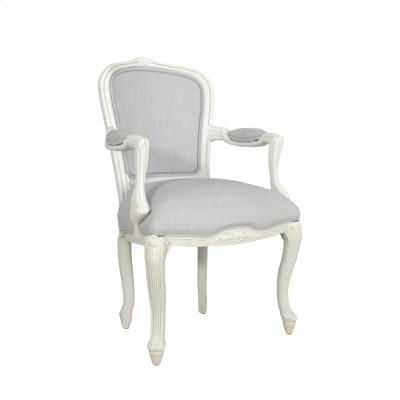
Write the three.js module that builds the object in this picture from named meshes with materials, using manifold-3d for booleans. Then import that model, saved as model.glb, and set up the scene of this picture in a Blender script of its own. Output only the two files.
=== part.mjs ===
import * as THREE from "three";
import { mergeVertices } from "three/addons/utils/BufferGeometryUtils.js";
import Module from "manifold-3d";

// An open-arm chair with a carved, painted beech frame and linen upholstery.
// Millimetres. +X is the right-hand side seen from the front, +Y runs to the back, +Z is up.
// The origin is on the floor, midway between the sides and between front and back.

const wasm = await Module();
wasm.setup();

// The whole chair
const CHAIR_HEIGHT = 986; // floor to the crest's tip
const SEAT_LEVEL = 400; // floor to the top of the show wood round the seat
const CLEARANCE = 0.3; // gap left between neighbouring pieces
const OVERRUN = 12; // how far a cutting tool runs past the face it cuts

// Back frame
const BACK_WIDTH = 482; // over the shoulders
const BACK_LINE_Y = 67; // the stiles' face at the seat level, measured at half the back's width
const BACK_CURVE = 88; // how far the middle of the back lies behind its shoulders
const CURVE_BLEND = 0.08; // share of the opening over which the curve dies out at the stiles
const BACK_THICKNESS = 28;
const SHOULDER_HEIGHT = 855;
const STILE_FACE_WIDTH = 42;
const CREST_FACE_WIDTH = 41;
const LOWER_RAIL_TOP = 539;
const LOWER_RAIL_HEIGHT = 44;
const LOWER_CORNER_RISE = 24;
const RAKE_DEGREES = 12;

// Back legs
const BACK_FOOT_SPREAD = 340; // between the centres of the two feet
const BACK_FOOT_Y = 140;
const BACK_LEG_DEPTH = 50; // along the leg's outward diagonal
const BACK_LEG_BREADTH = 40; // across it
const BACK_ANKLE_SETBACK = 14;
const BACK_POST_DEPTH = 54; // the square part that takes the seat rails

// Front legs
const FRONT_FOOT_SPREAD = 544;
const FRONT_FOOT_Y = -249;
const FRONT_KNEE_THICKNESS = 66;
const FRONT_ANKLE_THICKNESS = 41;
const FRONT_TOE_THICKNESS = 54;
const FRONT_FOOT_THICKNESS = 30;
const FRONT_ANKLE_SETBACK = 25;
const FRONT_KNEE_REACH = 7;
const KNEE_BEAD_THICKNESS = 7;
const KNEE_BEAD_WIDTH = 46;
const KNEE_BEAD_DROP = 19;
const HUSK_WIDTH = 22;
const HUSK_LENGTH = 24;
const HUSK_HEIGHT = 6;

// Glides under the feet
const GLIDE_DIAMETER = 20;
const GLIDE_HEIGHT = 4;
const GLIDE_PIN_DIAMETER = 3;
const GLIDE_PIN_LENGTH = 15;

// Seat plan
const SEAT_WIDTH = 576; // over the front corners of the upholstery
const SEAT_FRONT_Y = -303;
const SEAT_BACK_Y = 192;
const RAIL_INSET = 4; // the rails' faces lie this far inside the upholstery's outline

// Seat rails
const RAIL_THICKNESS = 27;
const FRONT_RAIL_HEIGHT = 40;
const FRONT_RAIL_WAVE = 12; // how far its edges rise and fall
const SIDE_RAIL_HEIGHT = 30;
const SIDE_RAIL_FALL = 48; // the show wood drops this far from the front corner to the back one
const RAIL_EAR_DROP = 34; // the rails' ends curve down this far on to the legs
const REBATE_DEPTH = 5; // the tacking rebate's depth behind the rail's face
const REBATE_HEIGHT = 16;
const BACK_RAIL_THICKNESS = 24;
const BACK_RAIL_HEIGHT = 50;

// Joints
const TENON_LENGTH = 22;
const TENON_THICKNESS = 9;
const TENON_HEIGHT = 22;
const ARM_TENON_LENGTH = 16;

// Arms and their supports
const ARM_WIDTH = 586; // over the two knuckles
const ARM_HEIGHT = 700; // middle of the arm at the back
const ARM_THICKNESS = 36;
const ARM_DEPTH = 44;
const ARM_TRAY_WIDTH = 60;
const ARM_TRAY_DEPTH = 16;
const ARM_TRAY_TOP = 671;
const KNUCKLE_TOP = 702;
const KNUCKLE_Y = -183;
const SUPPORT_Y = -160;
const SUPPORT_THICKNESS = 38; // at the scroll
const SUPPORT_DEPTH = 82; // from front to back at the scroll
const SCROLL_EYE_DIAMETER = 18;
const SCROLL_EYE_HEIGHT = 3;

// Upholstery
const COVER_THICKNESS = 2.5;
const SEAT_COVER_THICKNESS = 3.5; // with its wadding
const SEAT_CROWN = 146; // the top of the seat over the show wood's front edge
const SEAT_BACK_FALL = 0.3; // share of the crown that the seat loses under the back
const SEAT_SIDE_HEIGHT = 42; // the side's shoulder over the show wood, at the front
const SEAT_SKIRT = 9; // cover and wadding over the rebate's face
const BACK_CROWN = 16; // how far the back's panel stands out in front of its frame
const BACK_PAD_SEAT = 9; // how far the panel's edge lies behind the frame's face
const BACK_LINING_SEAT = 20; // the same for the hessian behind the foam
const PAD_WIDTH = 58;
const PAD_LENGTH = 188;
const PAD_HEIGHT = 49;
const PAD_MIDDLE_Y = -17;
const WELT_DIAMETER = 5;
const WELT_ROWS = 2;
const WEB_WIDTH = 50;
const WEB_THICKNESS = 1.5;
const HESSIAN_THICKNESS = 1;
const OUTER_PANEL_THICKNESS = 1.5;

// Corner blocks and screws
const BLOCK_LENGTH = 100; // along its diagonal
const BLOCK_HEIGHT = 22;
const BLOCK_THICKNESS = 22;
const BLOCK_DROP = 7; // under the deck
const DUST_COVER_DROP = 36; // under the deck
const SCREW_DIAMETER = 4.5;
const SCREW_HEAD_DIAMETER = 9;
const SCREW_HEAD_HEIGHT = 3.2;
const SCREW_LENGTH = 42;

// Worked out from the sizes above
const backHalf = BACK_WIDTH / 2;
const crestRise = CHAIR_HEIGHT - SHOULDER_HEIGHT;
const rakeSlope = Math.tan(THREE.MathUtils.degToRad(RAKE_DEGREES));
const frontLegX = FRONT_FOOT_SPREAD / 2;
const backLegX = BACK_FOOT_SPREAD / 2;
const seatHalf = SEAT_WIDTH / 2;
const seatDepth = SEAT_BACK_Y - SEAT_FRONT_Y;

const paint = { color: 0xece9df, roughness: 0.55, metalness: 0 };
const linen = { color: 0xc4c4c6, roughness: 0.95, metalness: 0 };
const finishes = {
  painted_wood: paint,
  linen,
  linen_welt: { color: 0xbab9ba, roughness: 0.95, metalness: 0 },
  bare_wood: { color: 0xc9ad84, roughness: 0.8, metalness: 0 },
  foam: { color: 0xe9dfb9, roughness: 1, metalness: 0 },
  jute: { color: 0xa98c5d, roughness: 1, metalness: 0 },
  lining: { color: 0x38363a, roughness: 1, metalness: 0 },
  steel: { color: 0x9a9a98, roughness: 0.35, metalness: 1 },
  nylon: { color: 0x4a4540, roughness: 0.5, metalness: 0 },
};

const chair = new THREE.Group();

/** Adds a geometry to the chair as a named mesh. */
function add(name, geometry, finish) {
  const material = new THREE.MeshStandardMaterial(finishes[finish]);
  const mesh = new THREE.Mesh(geometry, material);
  mesh.name = name;
  chair.add(mesh);
  return mesh;
}

// Tools for points, curves and solids

const vec = (x, y, z) => new THREE.Vector3(x, y, z);
const lerp = THREE.MathUtils.lerp;

/** A value read from a table of [position, value] rows, smoothed between rows. */
function along(table, position) {
  const first = table[0];
  const last = table[table.length - 1];
  if (position <= first[0]) return first[1];
  if (position >= last[0]) return last[1];
  const k = table.findIndex((row) => row[0] > position) - 1;
  const at = (i) => table[Math.min(Math.max(i, 0), table.length - 1)];
  const [a, b, c, d] = [at(k - 1), at(k), at(k + 1), at(k + 2)];
  const span = c[0] - b[0];
  const t = (position - b[0]) / span;
  const slopeIn = c[0] === a[0] ? 0 : ((c[1] - a[1]) / (c[0] - a[0])) * span;
  const slopeOut = d[0] === b[0] ? 0 : ((d[1] - b[1]) / (d[0] - b[0])) * span;
  const t2 = t * t;
  const t3 = t2 * t;
  return (
    (2 * t3 - 3 * t2 + 1) * b[1] +
    (t3 - 2 * t2 + t) * slopeIn +
    (3 * t2 - 2 * t3) * c[1] +
    (t3 - t2) * slopeOut
  );
}

/** Evenly spaced numbers from start to end, both included. */
function steps(start, end, count) {
  return Array.from({ length: count + 1 }, (_, i) => lerp(start, end, i / count));
}

/** Twice the volume's sign of a triangle list, to tell an inside-out body. */
function signedVolume(points, faces) {
  let sum = 0;
  for (const [a, b, c] of faces) {
    sum += points[a].dot(points[b].clone().cross(points[c]));
  }
  return sum;
}

/** A closed body from points and triangles, its faces pointing out. */
function body(points, faces) {
  const outward = signedVolume(points, faces) > 0;
  const geometry = new THREE.BufferGeometry();
  geometry.setAttribute(
    "position",
    new THREE.Float32BufferAttribute(points.flatMap((p) => [p.x, p.y, p.z]), 3),
  );
  geometry.setIndex(faces.flatMap(([a, b, c]) => (outward ? [a, b, c] : [a, c, b])));
  return geometry;
}

/** Splits a four-cornered face along its shorter diagonal; parallel faces split alike. */
function quad(points, [a, b, c, d]) {
  const first = points[a].distanceTo(points[c]);
  const second = points[b].distanceTo(points[d]);
  const rank = (i) => points[i].x + 2 * points[i].z + 3 * points[i].y;
  const tied = Math.abs(first - second) < CLEARANCE / 10;
  const lowest = [a, b, c, d].reduce((m, i) => (rank(i) < rank(m) ? i : m));
  const alongFirst = tied ? lowest === a || lowest === c : first < second;
  return alongFirst
    ? [
        [a, b, c],
        [a, c, d],
      ]
    : [
        [a, b, d],
        [b, c, d],
      ];
}

/** Joins rings with equal numbers of points into one body: a run with two ends, or a closed loop. */
function loft(rings, { loop = false } = {}) {
  const count = rings[0].length;
  const points = rings.flat().map((p) => p.clone());
  const faces = [];
  const spans = loop ? rings.length : rings.length - 1;
  for (let i = 0; i < spans; i++) {
    const near = i * count;
    const far = ((i + 1) % rings.length) * count;
    for (let j = 0; j < count; j++) {
      const k = (j + 1) % count;
      faces.push(...quad(points, [near + j, near + k, far + k, far + j]));
    }
  }
  if (!loop) {
    const closeEnd = (start, flip) => {
      const middle = vec(0, 0, 0);
      for (let j = 0; j < count; j++) middle.addScaledVector(points[start + j], 1 / count);
      const hub = points.push(middle) - 1;
      for (let j = 0; j < count; j++) {
        const k = (j + 1) % count;
        faces.push(flip ? [hub, start + k, start + j] : [hub, start + j, start + k]);
      }
    };
    closeEnd(0, true);
    closeEnd((rings.length - 1) * count, false);
  }
  return body(points, faces);
}

/** A closed mesh as a solid that can be cut and joined. */
function solid(geometry) {
  const bare = new THREE.BufferGeometry();
  bare.setAttribute("position", geometry.getAttribute("position"));
  if (geometry.getIndex()) bare.setIndex(geometry.getIndex());
  const merged = mergeVertices(bare, CLEARANCE / 300);
  return new wasm.Manifold(
    new wasm.Mesh({
      numProp: 3,
      vertProperties: new Float32Array(merged.getAttribute("position").array),
      triVerts: new Uint32Array(merged.getIndex().array),
    }),
  );
}

/** A solid back as a geometry. */
function shape(manifold) {
  const mesh = manifold.getMesh();
  const geometry = new THREE.BufferGeometry();
  const positions = [];
  for (let i = 0; i < mesh.numVert; i++) {
    for (let k = 0; k < 3; k++) positions.push(mesh.vertProperties[i * mesh.numProp + k]);
  }
  geometry.setAttribute("position", new THREE.Float32BufferAttribute(positions, 3));
  geometry.setIndex(Array.from(mesh.triVerts));
  return geometry;
}

/** The mirror image across the chair's middle plane. */
function mirrored(geometry) {
  const copy = geometry.clone();
  copy.scale(-1, 1, 1);
  const index = copy.getIndex();
  for (let i = 0; i < index.count; i += 3) {
    const b = index.getX(i + 1);
    index.setX(i + 1, index.getX(i + 2));
    index.setX(i + 2, b);
  }
  return copy;
}

/** The largest connected body of a solid as a geometry, without the crumbs that a cut leaves. */
function mainBody(manifold) {
  const geometry = shape(manifold);
  const index = Array.from(geometry.getIndex().array);
  const owner = Array.from({ length: geometry.getAttribute("position").count }, (_, i) => i);
  const find = (i) => {
    let at = i;
    while (owner[at] !== at) at = owner[at];
    owner[i] = at;
    return at;
  };
  for (let i = 0; i < index.length; i += 3) {
    const first = find(index[i]);
    owner[find(index[i + 1])] = first;
    owner[find(index[i + 2])] = first;
  }
  const faces = new Map();
  for (let i = 0; i < index.length; i += 3) {
    const key = find(index[i]);
    if (!faces.has(key)) faces.set(key, []);
    faces.get(key).push(index[i], index[i + 1], index[i + 2]);
  }
  const biggest = [...faces.values()].reduce((a, b) => (b.length > a.length ? b : a));
  geometry.setIndex(biggest);
  const bare = geometry.toNonIndexed();
  return mergeVertices(bare, CLEARANCE / 3000);
}

/** A box solid of the given size, turned about Z, centred on a point. */
function block(centre, size, turn = 0, lean = 0) {
  const box = new THREE.BoxGeometry(size.x, size.y, size.z);
  box.rotateX(lean);
  box.rotateZ(turn);
  box.translate(centre.x, centre.y, centre.z);
  return solid(box);
}

/** A ring of points round a centre, rounder or squarer by its power. */
function roundedRing(centre, axisA, axisB, halfA, halfB, power, count) {
  return Array.from({ length: count }, (_, i) => {
    const angle = (2 * Math.PI * (i + 0.5)) / count;
    const c = Math.cos(angle);
    const s = Math.sin(angle);
    const a = Math.sign(c) * Math.abs(c) ** (2 / power) * halfA;
    const b = Math.sign(s) * Math.abs(s) ** (2 / power) * halfB;
    return centre.clone().addScaledVector(axisA, a).addScaledVector(axisB, b);
  });
}

/** Two mirrored meshes, the right-hand one given. */
function addPair(name, geometry, finish) {
  add(`${name}_right`, geometry, finish);
  add(`${name}_left`, mirrored(geometry), finish);
}

// The back's face is one curved, leaning surface that every piece of the back follows

/** Y of the back's face at a place across and up the chair. */
function backFaceY(x, z) {
  const outer = stileOuterX(Math.min(z, SHOULDER_HEIGHT));
  const bow = BACK_CURVE * (outer / backHalf) ** 2;
  const across = Math.min(Math.abs(x) / (outer - STILE_FACE_WIDTH), 1 + CURVE_BLEND);
  const over = Math.max(0, across - 1 + CURVE_BLEND);
  const hollow = across - (over * over) / (4 * CURVE_BLEND);
  return BACK_LINE_Y + rakeSlope * (z - SEAT_LEVEL) + BACK_CURVE - bow * hollow * hollow;
}

// Outer edge of the stiles: [share of the height from seat to shoulder, share of half the width]
const stileOutlineShares = [
  [0, 0.805],
  [0.1, 0.8],
  [0.3, 0.822],
  [0.52, 0.868],
  [0.7, 0.92],
  [0.88, 0.98],
  [1, 1],
];

/** Half the back's width over its outer edges at a height between seat and shoulder. */
function stileOuterX(z) {
  const share = (z - SEAT_LEVEL) / (SHOULDER_HEIGHT - SEAT_LEVEL);
  return along(stileOutlineShares, share) * backHalf;
}

// Crest outlines from the shoulder to the middle: [share across, share of the rise]
const crestOuterShares = [
  [1, 0],
  [0.994, 0.15],
  [0.96, 0.33],
  [0.895, 0.49],
  [0.8, 0.62],
  [0.67, 0.72],
  [0.5, 0.785],
  [0.32, 0.842],
  [0.16, 0.92],
  [0.07, 0.972],
  [0, 1],
];
const crestInnerShares = [
  [1, 0],
  [0.994, 0.17],
  [0.965, 0.36],
  [0.905, 0.54],
  [0.815, 0.68],
  [0.69, 0.79],
  [0.53, 0.88],
  [0.35, 0.945],
  [0.18, 0.984],
  [0.08, 0.997],
  [0, 1],
];

/** The points of a table of [share across, share up] at real sizes, from one shoulder to the other. */
function crestLine(shares, half, rise) {
  const knots = shares.map(([across, up]) => vec(across * half, 0, SHOULDER_HEIGHT + up * rise));
  const mirror = knots.slice(0, -1).map((p) => vec(-p.x, 0, p.z));
  return [...knots, ...mirror.reverse()];
}

// The back frame's moulding: [share of the face's width from its outer edge, share of the thickness]
const mouldingShares = [
  [0, 0.3],
  [0.08, 0.05],
  [0.2, 0],
  [0.32, 0.1],
  [0.42, 0.22],
  [0.53, 0.07],
  [0.7, 0.02],
  [0.9, 0.24],
  [1, 0.36],
  [1, 1],
  [0.07, 1],
  [0, 0.86],
];

/** One section of the back frame between a point on its outer edge and one on its inner edge. */
function frameRing(outer, inner, grow = 0) {
  const reach = vec(inner.x - outer.x, 0, inner.z - outer.z);
  const width = reach.length();
  reach.normalize();
  return mouldingShares.map(([across, deep]) => {
    const u = lerp(-grow, width + grow, across);
    const x = outer.x + reach.x * u;
    const z = outer.z + reach.z * u;
    return vec(x, backFaceY(x, z) + lerp(-grow, BACK_THICKNESS + grow, deep), z);
  });
}

// Heights of the stile's sections beside the panel, and places along the lower rail as shares
const panelCornerZ = LOWER_RAIL_TOP + LOWER_CORNER_RISE;
const stileStations = steps(panelCornerZ, SHOULDER_HEIGHT, 4);
const lowerRailStations = [-0.93, -0.85, -0.7, -0.35, 0, 0.35, 0.7, 0.85, 0.93];

// Back legs: each is one piece with its stile

const backLegTop = SEAT_LEVEL - BACK_RAIL_HEIGHT - RAIL_EAR_DROP / 2;

// [share of the leg's height, share of the ankle's setback, share of the depth, of the breadth]
const backLegShares = [
  [0, 0.1, 0.5, 0.76],
  [0.035, 0.1, 0.66, 0.82],
  [0.09, 0.2, 0.84, 0.84],
  [0.15, 0.1, 0.96, 0.85],
  [0.19, 0.35, 0.88, 0.85],
  [0.28, 0.95, 0.81, 0.87],
  [0.38, 1, 0.83, 0.9],
  [0.55, 0.6, 0.93, 0.95],
  [0.8, 0.05, 1, 1],
  [1, 0, 1, 1],
];

/** Middle of the stile at a height, halfway through its face's width and its thickness. */
function stileMiddle(z) {
  const x = stileOuterX(z) - STILE_FACE_WIDTH / 2;
  return vec(x, backFaceY(x, z) + BACK_THICKNESS / 2, z);
}

/** The section of the square part at the seat, from the moulding's own points. */
function postRing(z, grow = 0) {
  const outerX = stileOuterX(z) + grow;
  const front = backFaceY(stileOuterX(z), z) - grow;
  return mouldingShares.map(([across, deep]) => {
    const soft = deep > 0 && deep < 0.35 ? 0.05 : deep;
    return vec(
      outerX - across * (STILE_FACE_WIDTH + 2 * grow),
      front + soft * (BACK_POST_DEPTH + 2 * grow),
      z,
    );
  });
}

/** The lower leg's section at a share of its height. */
function backLegRing(share, grow = 0) {
  const at = (column) => along(backLegShares.map((row) => [row[0], row[column]]), share);
  const z = lerp(GLIDE_HEIGHT, backLegTop, share);
  const setback = at(1) * BACK_ANKLE_SETBACK * Math.SQRT1_2;
  const centre = vec(backLegX - setback, BACK_FOOT_Y - setback, z);
  const out = vec(Math.SQRT1_2, Math.SQRT1_2, 0);
  const side = vec(-Math.SQRT1_2, Math.SQRT1_2, 0);
  const depth = (BACK_LEG_DEPTH / 2) * at(2) + grow;
  const breadth = (BACK_LEG_BREADTH / 2) * at(3) + grow;
  // Each point takes the direction that its fellow has in the post above
  const model = postRing(SEAT_LEVEL);
  const hub = model.reduce((sum, p) => sum.addScaledVector(p, 1 / model.length), vec(0, 0, 0));
  return model.map((p) => {
    const angle = Math.atan2(p.y - hub.y, p.x - hub.x);
    const c = Math.cos(angle) * out.x + Math.sin(angle) * out.y;
    const s = Math.cos(angle) * side.x + Math.sin(angle) * side.y;
    const power = 2.6;
    const r = 1 / (Math.abs(c / depth) ** power + Math.abs(s / breadth) ** power) ** (1 / power);
    return centre.clone().addScaledVector(out, c * r).addScaledVector(side, s * r);
  });
}

/** The whole back leg and stile, grown on every side by a clearance when it is used as a cutter. */
function backLegBlank(grow = 0) {
  const rings = [];
  for (const share of [0, 0.03, 0.09, 0.15, 0.19, 0.26, 0.36, 0.5, 0.7, 0.94]) {
    rings.push(backLegRing(share, grow));
  }
  const postFoot = SEAT_LEVEL - BACK_RAIL_HEIGHT + RAIL_EAR_DROP / 3;
  for (const z of steps(postFoot, SEAT_LEVEL + REBATE_HEIGHT, 2)) rings.push(postRing(z, grow));
  const stileFoot = SEAT_LEVEL + 3 * REBATE_HEIGHT;
  for (const z of [stileFoot, ...stileStations]) {
    const outer = vec(stileOuterX(z), 0, z);
    rings.push(frameRing(outer, vec(outer.x - STILE_FACE_WIDTH, 0, z), grow));
  }
  return solid(loft(rings));
}

// Crest rail, over the stiles' ends

const crestBase = SHOULDER_HEIGHT + CLEARANCE;

/** The crest rail without its joints. */
function crestBlank() {
  const outer = crestLine(crestOuterShares, backHalf, crestRise);
  const inner = crestLine(crestInnerShares, backHalf - STILE_FACE_WIDTH, crestRise - CREST_FACE_WIDTH);
  const rings = outer.map((p, i) => frameRing(p, inner[i]));
  for (const ring of [rings[0], rings[rings.length - 1]]) {
    for (const p of ring) p.z = crestBase;
  }
  return solid(loft(rings));
}

/** A small leaf or petal: a flattened ball at a place, turned in the plane of the face. */
function petal(centre, halfLength, halfWidth, halfHeight, turn) {
  const ball = new THREE.SphereGeometry(1, 6, 4);
  ball.scale(halfWidth, halfHeight, halfLength);
  ball.rotateY(turn);
  ball.translate(centre.x, centre.y, centre.z);
  return solid(ball);
}

/** A spray of petals by a table of [across, up, length, width, height, turn], all but the turn in sizes. */
function spray(shares, size, place) {
  let carving = null;
  for (const [across, up, long, wide, high, turn] of shares) {
    for (const side of across ? [-1, 1] : [1]) {
      const centre = place(side * across * size, up * size);
      const leaf = petal(centre, long * size, wide * size, high * size, side * turn);
      carving = carving ? carving.add(leaf) : leaf;
    }
  }
  return carving;
}

// Halves of each petal's length, width and height, in widths of the crest's face
const crestPetalShares = [
  [0, 0, 0.36, 0.2, 0.2, 0],
  [0.36, 0.02, 0.3, 0.16, 0.17, 1],
  [0.78, -0.12, 0.34, 0.13, 0.13, 1.25],
];

/** The crest's carved flower with leaves on each side. */
function crestCarving() {
  const middle = CHAIR_HEIGHT - CREST_FACE_WIDTH / 2;
  const depth = BACK_THICKNESS * 0.1;
  return spray(crestPetalShares, CREST_FACE_WIDTH, (x, up) =>
    vec(x, backFaceY(x, middle) + depth, middle + up),
  );
}

/** Tenon that stands up from a stile into the crest rail. */
function crestTenon(grow = 0) {
  const middle = stileMiddle(SHOULDER_HEIGHT);
  const size = vec(TENON_THICKNESS + 2 * grow, TENON_THICKNESS + 2 * grow, TENON_LENGTH + 2 * grow);
  return block(middle, size);
}

// Lower rail of the back

const lowerRailShares = [
  [0, 0],
  [0.7, 0],
  [0.85, 0.1],
  [0.93, 0.36],
  [1, 1],
];

/** The back's lower rail, run into both stiles. */
function lowerRailBlank() {
  const middle = LOWER_RAIL_TOP - LOWER_RAIL_HEIGHT / 2;
  const half = stileOuterX(middle) - STILE_FACE_WIDTH;
  const reach = half + STILE_FACE_WIDTH / 4;
  const rings = [-reach, ...lowerRailStations.map((share) => share * half), reach].map((x) => {
    const share = Math.min(Math.abs(x) / half, 1);
    const top = LOWER_RAIL_TOP + along(lowerRailShares, share) * LOWER_CORNER_RISE;
    const bottom = LOWER_RAIL_TOP - LOWER_RAIL_HEIGHT;
    return frameRing(vec(x, 0, bottom), vec(x, 0, top));
  });
  return solid(loft(rings));
}

/** A tenon along X on the inner side of the right stile. */
function lowerRailTenon(grow = 0) {
  const z = LOWER_RAIL_TOP - LOWER_RAIL_HEIGHT / 2;
  const x = stileOuterX(z) - STILE_FACE_WIDTH;
  const y = backFaceY(x, z) + BACK_THICKNESS / 2;
  const size = vec(2 * TENON_LENGTH, TENON_THICKNESS, TENON_HEIGHT);
  return block(vec(x, y, z), size.addScalar(2 * grow));
}

// Seat plan: one outline that rails, covers and webs follow
// [share of half the width, share of the depth from front to back]
const seatPlanShares = [
  [0, 0],
  [0.3, 0.007],
  [0.6, 0.033],
  [0.82, 0.057],
  [0.93, 0.061],
  [0.985, 0.077],
  [1, 0.119],
  [0.984, 0.301],
  [0.925, 0.469],
  [0.848, 0.622],
  [0.782, 0.749],
  [0.73, 0.851],
  [0.7, 0.893],
  [0.62, 0.905],
  [0.48, 0.941],
  [0.25, 0.983],
  [0, 1],
];
const cornerRow = 5; // where the front edge turns into the side
const stileRow = 12; // where the side wraps round the stile

/** A row of the plan as a point on the right-hand side, or its mirror image. */
const planPoint = ([across, back], side = 1) =>
  vec(side * across * seatHalf, SEAT_FRONT_Y + back * seatDepth, 0);

/** The plan's smooth outline, from the middle of the front round by the right-hand side. */
const seatCurve = (() => {
  const right = seatPlanShares.map((row) => planPoint(row));
  const left = seatPlanShares.slice(1, -1).map((row) => planPoint(row, -1));
  return new THREE.CatmullRomCurve3([...right, ...left.reverse()], true, "centripetal");
})();
const seatSamples = seatCurve.getPoints(400);
const seatMiddleY = (SEAT_FRONT_Y + SEAT_BACK_Y) / 2;

// Places across the front where the rail and the upholstery have their sections
const frontStations = steps(-0.9 * seatHalf, 0.9 * seatHalf, 14);

const seatFrontTable = seatSamples
  .filter((p) => p.y < FRONT_FOOT_Y && p.x >= 0)
  .sort((a, b) => a.x - b.x)
  .filter((p, i, all) => i === 0 || p.x > all[i - 1].x + CLEARANCE)
  .map((p) => [p.x, p.y]);

/** Y of the seat's front edge at a place across it. */
function seatFrontEdge(x) {
  return along(seatFrontTable, Math.abs(x));
}

const seatSideTable = seatSamples
  .filter((p) => p.x > seatHalf * 0.71 && p.y > FRONT_FOOT_Y)
  .sort((a, b) => a.y - b.y)
  .map((p) => [p.y, p.x]);

/** X of the seat's right-hand edge at a place from front to back. */
const seatSideEdge = (y) => along(seatSideTable, y);

// Places along a side where the rail and the upholstery have their sections
const stileFaceY = backFaceY(stileOuterX(SEAT_LEVEL), SEAT_LEVEL);
const sideStart = FRONT_FOOT_Y + FRONT_KNEE_THICKNESS * 0.1;
const sideStations = steps(sideStart, stileFaceY + BACK_POST_DEPTH * 0.25, 8);

// How far the upholstery stands outside the stile, which the side rail meets flush
const stileFlushInset = seatSideEdge(stileFaceY) - stileOuterX(SEAT_LEVEL) + CLEARANCE;

// Top edge of the show wood: front rail from its middle, side rail from front to back
const frontTopShares = [
  [0, 0.52],
  [0.12, 0.48],
  [0.2, 0.2],
  [0.29, -0.6],
  [0.41, -1],
  [0.52, -0.8],
  [0.66, -0.35],
  [0.8, -0.15],
  [0.88, 0.1],
  [0.94, 0.5],
  [1, 0.58],
];
const frontBottomShares = [
  [0, -0.35],
  [0.2, -0.2],
  [0.32, 0],
  [0.42, 0],
  [0.6, 0.2],
  [0.74, 0.75],
  [0.8, 0.78],
  [0.84, 0.4],
  [0.872, -0.5],
  [0.9, -1.7],
  [0.92, -3],
  [1, -4],
];

/** Height of the show wood's top edge along the front rail. */
function frontTopZ(x) {
  return SEAT_LEVEL + along(frontTopShares, Math.abs(x) / frontLegX) * FRONT_RAIL_WAVE;
}

/** Height of the front rail's bottom edge. */
function frontBottomZ(x) {
  const share = along(frontBottomShares, Math.abs(x) / frontLegX);
  return SEAT_LEVEL - FRONT_RAIL_HEIGHT + share * FRONT_RAIL_WAVE;
}

// [share of the side's length, share of the fall], and the ears' drop at both ends
const sideFallShares = [
  [0, -0.14],
  [0.06, -0.03],
  [0.12, 0.08],
  [0.22, 0.15],
  [0.45, 0.33],
  [0.65, 0.56],
  [0.81, 0.79],
  [1, 1],
];
const sideEarShares = [
  [0, 1.6],
  [0.06, 1.1],
  [0.1, 0.45],
  [0.15, 0.06],
  [0.25, 0],
  [0.85, 0],
  [1, 0.1],
];
const sideFrontY = FRONT_FOOT_Y;
const sideBackY = stileFaceY + BACK_POST_DEPTH;

/** Height of the seat's deck, the leaning plane of the rails' top edges. */
function deckZ(y) {
  return SEAT_LEVEL + REBATE_HEIGHT - SIDE_RAIL_FALL * sideShare(y);
}

/** Where a place along the side rail lies, from 0 at the front leg to 1 at the back one. */
const sideShare = (y) => (y - sideFrontY) / (sideBackY - sideFrontY);

/** Height of the show wood's top edge along a side. */
const sideTopZ = (y) => SEAT_LEVEL - along(sideFallShares, sideShare(y)) * SIDE_RAIL_FALL;

/** Height of a side rail's bottom edge. */
function sideBottomZ(y) {
  return sideTopZ(y) - SIDE_RAIL_HEIGHT - along(sideEarShares, sideShare(y)) * RAIL_EAR_DROP;
}

// The seat rails' moulding: [share of the thickness from the face, share of the show wood's height]
const railShares = [
  [0.16, 0],
  [0.02, 0.06],
  [0.02, 0.2],
  [0.1, 0.3],
  [0.02, 0.42],
  [0.04, 0.54],
  [0.1, 0.72],
  [0.03, 0.92],
  [0.06, 1],
];

/** Section of a seat rail from its face inward, with the tacking rebate over the show wood. */
function railRing(face, inward, bottom, top, grow = 0) {
  const point = (deep, z) => vec(face.x, face.y, z).addScaledVector(inward, deep);
  const onDeck = (deep) => {
    const p = point(deep, 0);
    return p.setZ(deckZ(p.y) + grow);
  };
  const rise = (up) => lerp(bottom - grow, top + grow, up);
  const ring = railShares.map(([deep, up]) => point(deep * RAIL_THICKNESS - grow, rise(up)));
  ring.push(point(REBATE_DEPTH - grow, top + grow));
  ring.push(onDeck(REBATE_DEPTH - grow));
  ring.push(onDeck(RAIL_THICKNESS + grow));
  ring.push(point(RAIL_THICKNESS + grow, bottom - grow));
  return ring;
}

/** The front rail, run into both legs. */
function frontRailBlank(grow = 0) {
  const reach = frontLegX - FRONT_KNEE_THICKNESS * 0.3;
  const rings = frontStations.map((station) => {
    const x = THREE.MathUtils.clamp(station, -reach, reach);
    const face = vec(x, seatFrontEdge(x) + RAIL_INSET, 0);
    return railRing(face, vec(0, 1, 0), frontBottomZ(x), frontTopZ(x), grow);
  });
  return solid(loft(rings));
}

// The same for the front rail's spray, in heights of the rail
const railPetalShares = [
  [0, 0, 0.22, 0.34, 0.14, 0],
  [0.58, 0.08, 0.32, 0.15, 0.12, 0.95],
  [1.12, 0.02, 0.36, 0.13, 0.11, 1.2],
  [1.74, -0.05, 0.38, 0.11, 0.1, 1.4],
  [2.36, -0.03, 0.32, 0.09, 0.08, 1.5],
];

/** The front rail's carved cartouche with a spray of leaves. */
function railCarving() {
  return spray(railPetalShares, FRONT_RAIL_HEIGHT, (x, up) => {
    const middle = lerp(frontBottomZ(x), frontTopZ(x), 0.5);
    return vec(x, seatFrontEdge(x) + RAIL_INSET + RAIL_THICKNESS * 0.06, middle + up);
  });
}

/** The right-hand side rail, run into both legs. */
function sideRailBlank(grow = 0) {
  const start = sideStations[0];
  const end = sideStations[sideStations.length - 1];
  const rings = sideStations.map((y) => {
    const inset = lerp(RAIL_INSET, stileFlushInset, Math.max(0, (y - start) / (end - start)) ** 3);
    const face = vec(seatSideEdge(y) - inset, y, 0);
    return railRing(face, vec(-1, 0, 0), sideBottomZ(y), sideTopZ(y), grow);
  });
  return solid(loft(rings));
}

// Front legs

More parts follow.
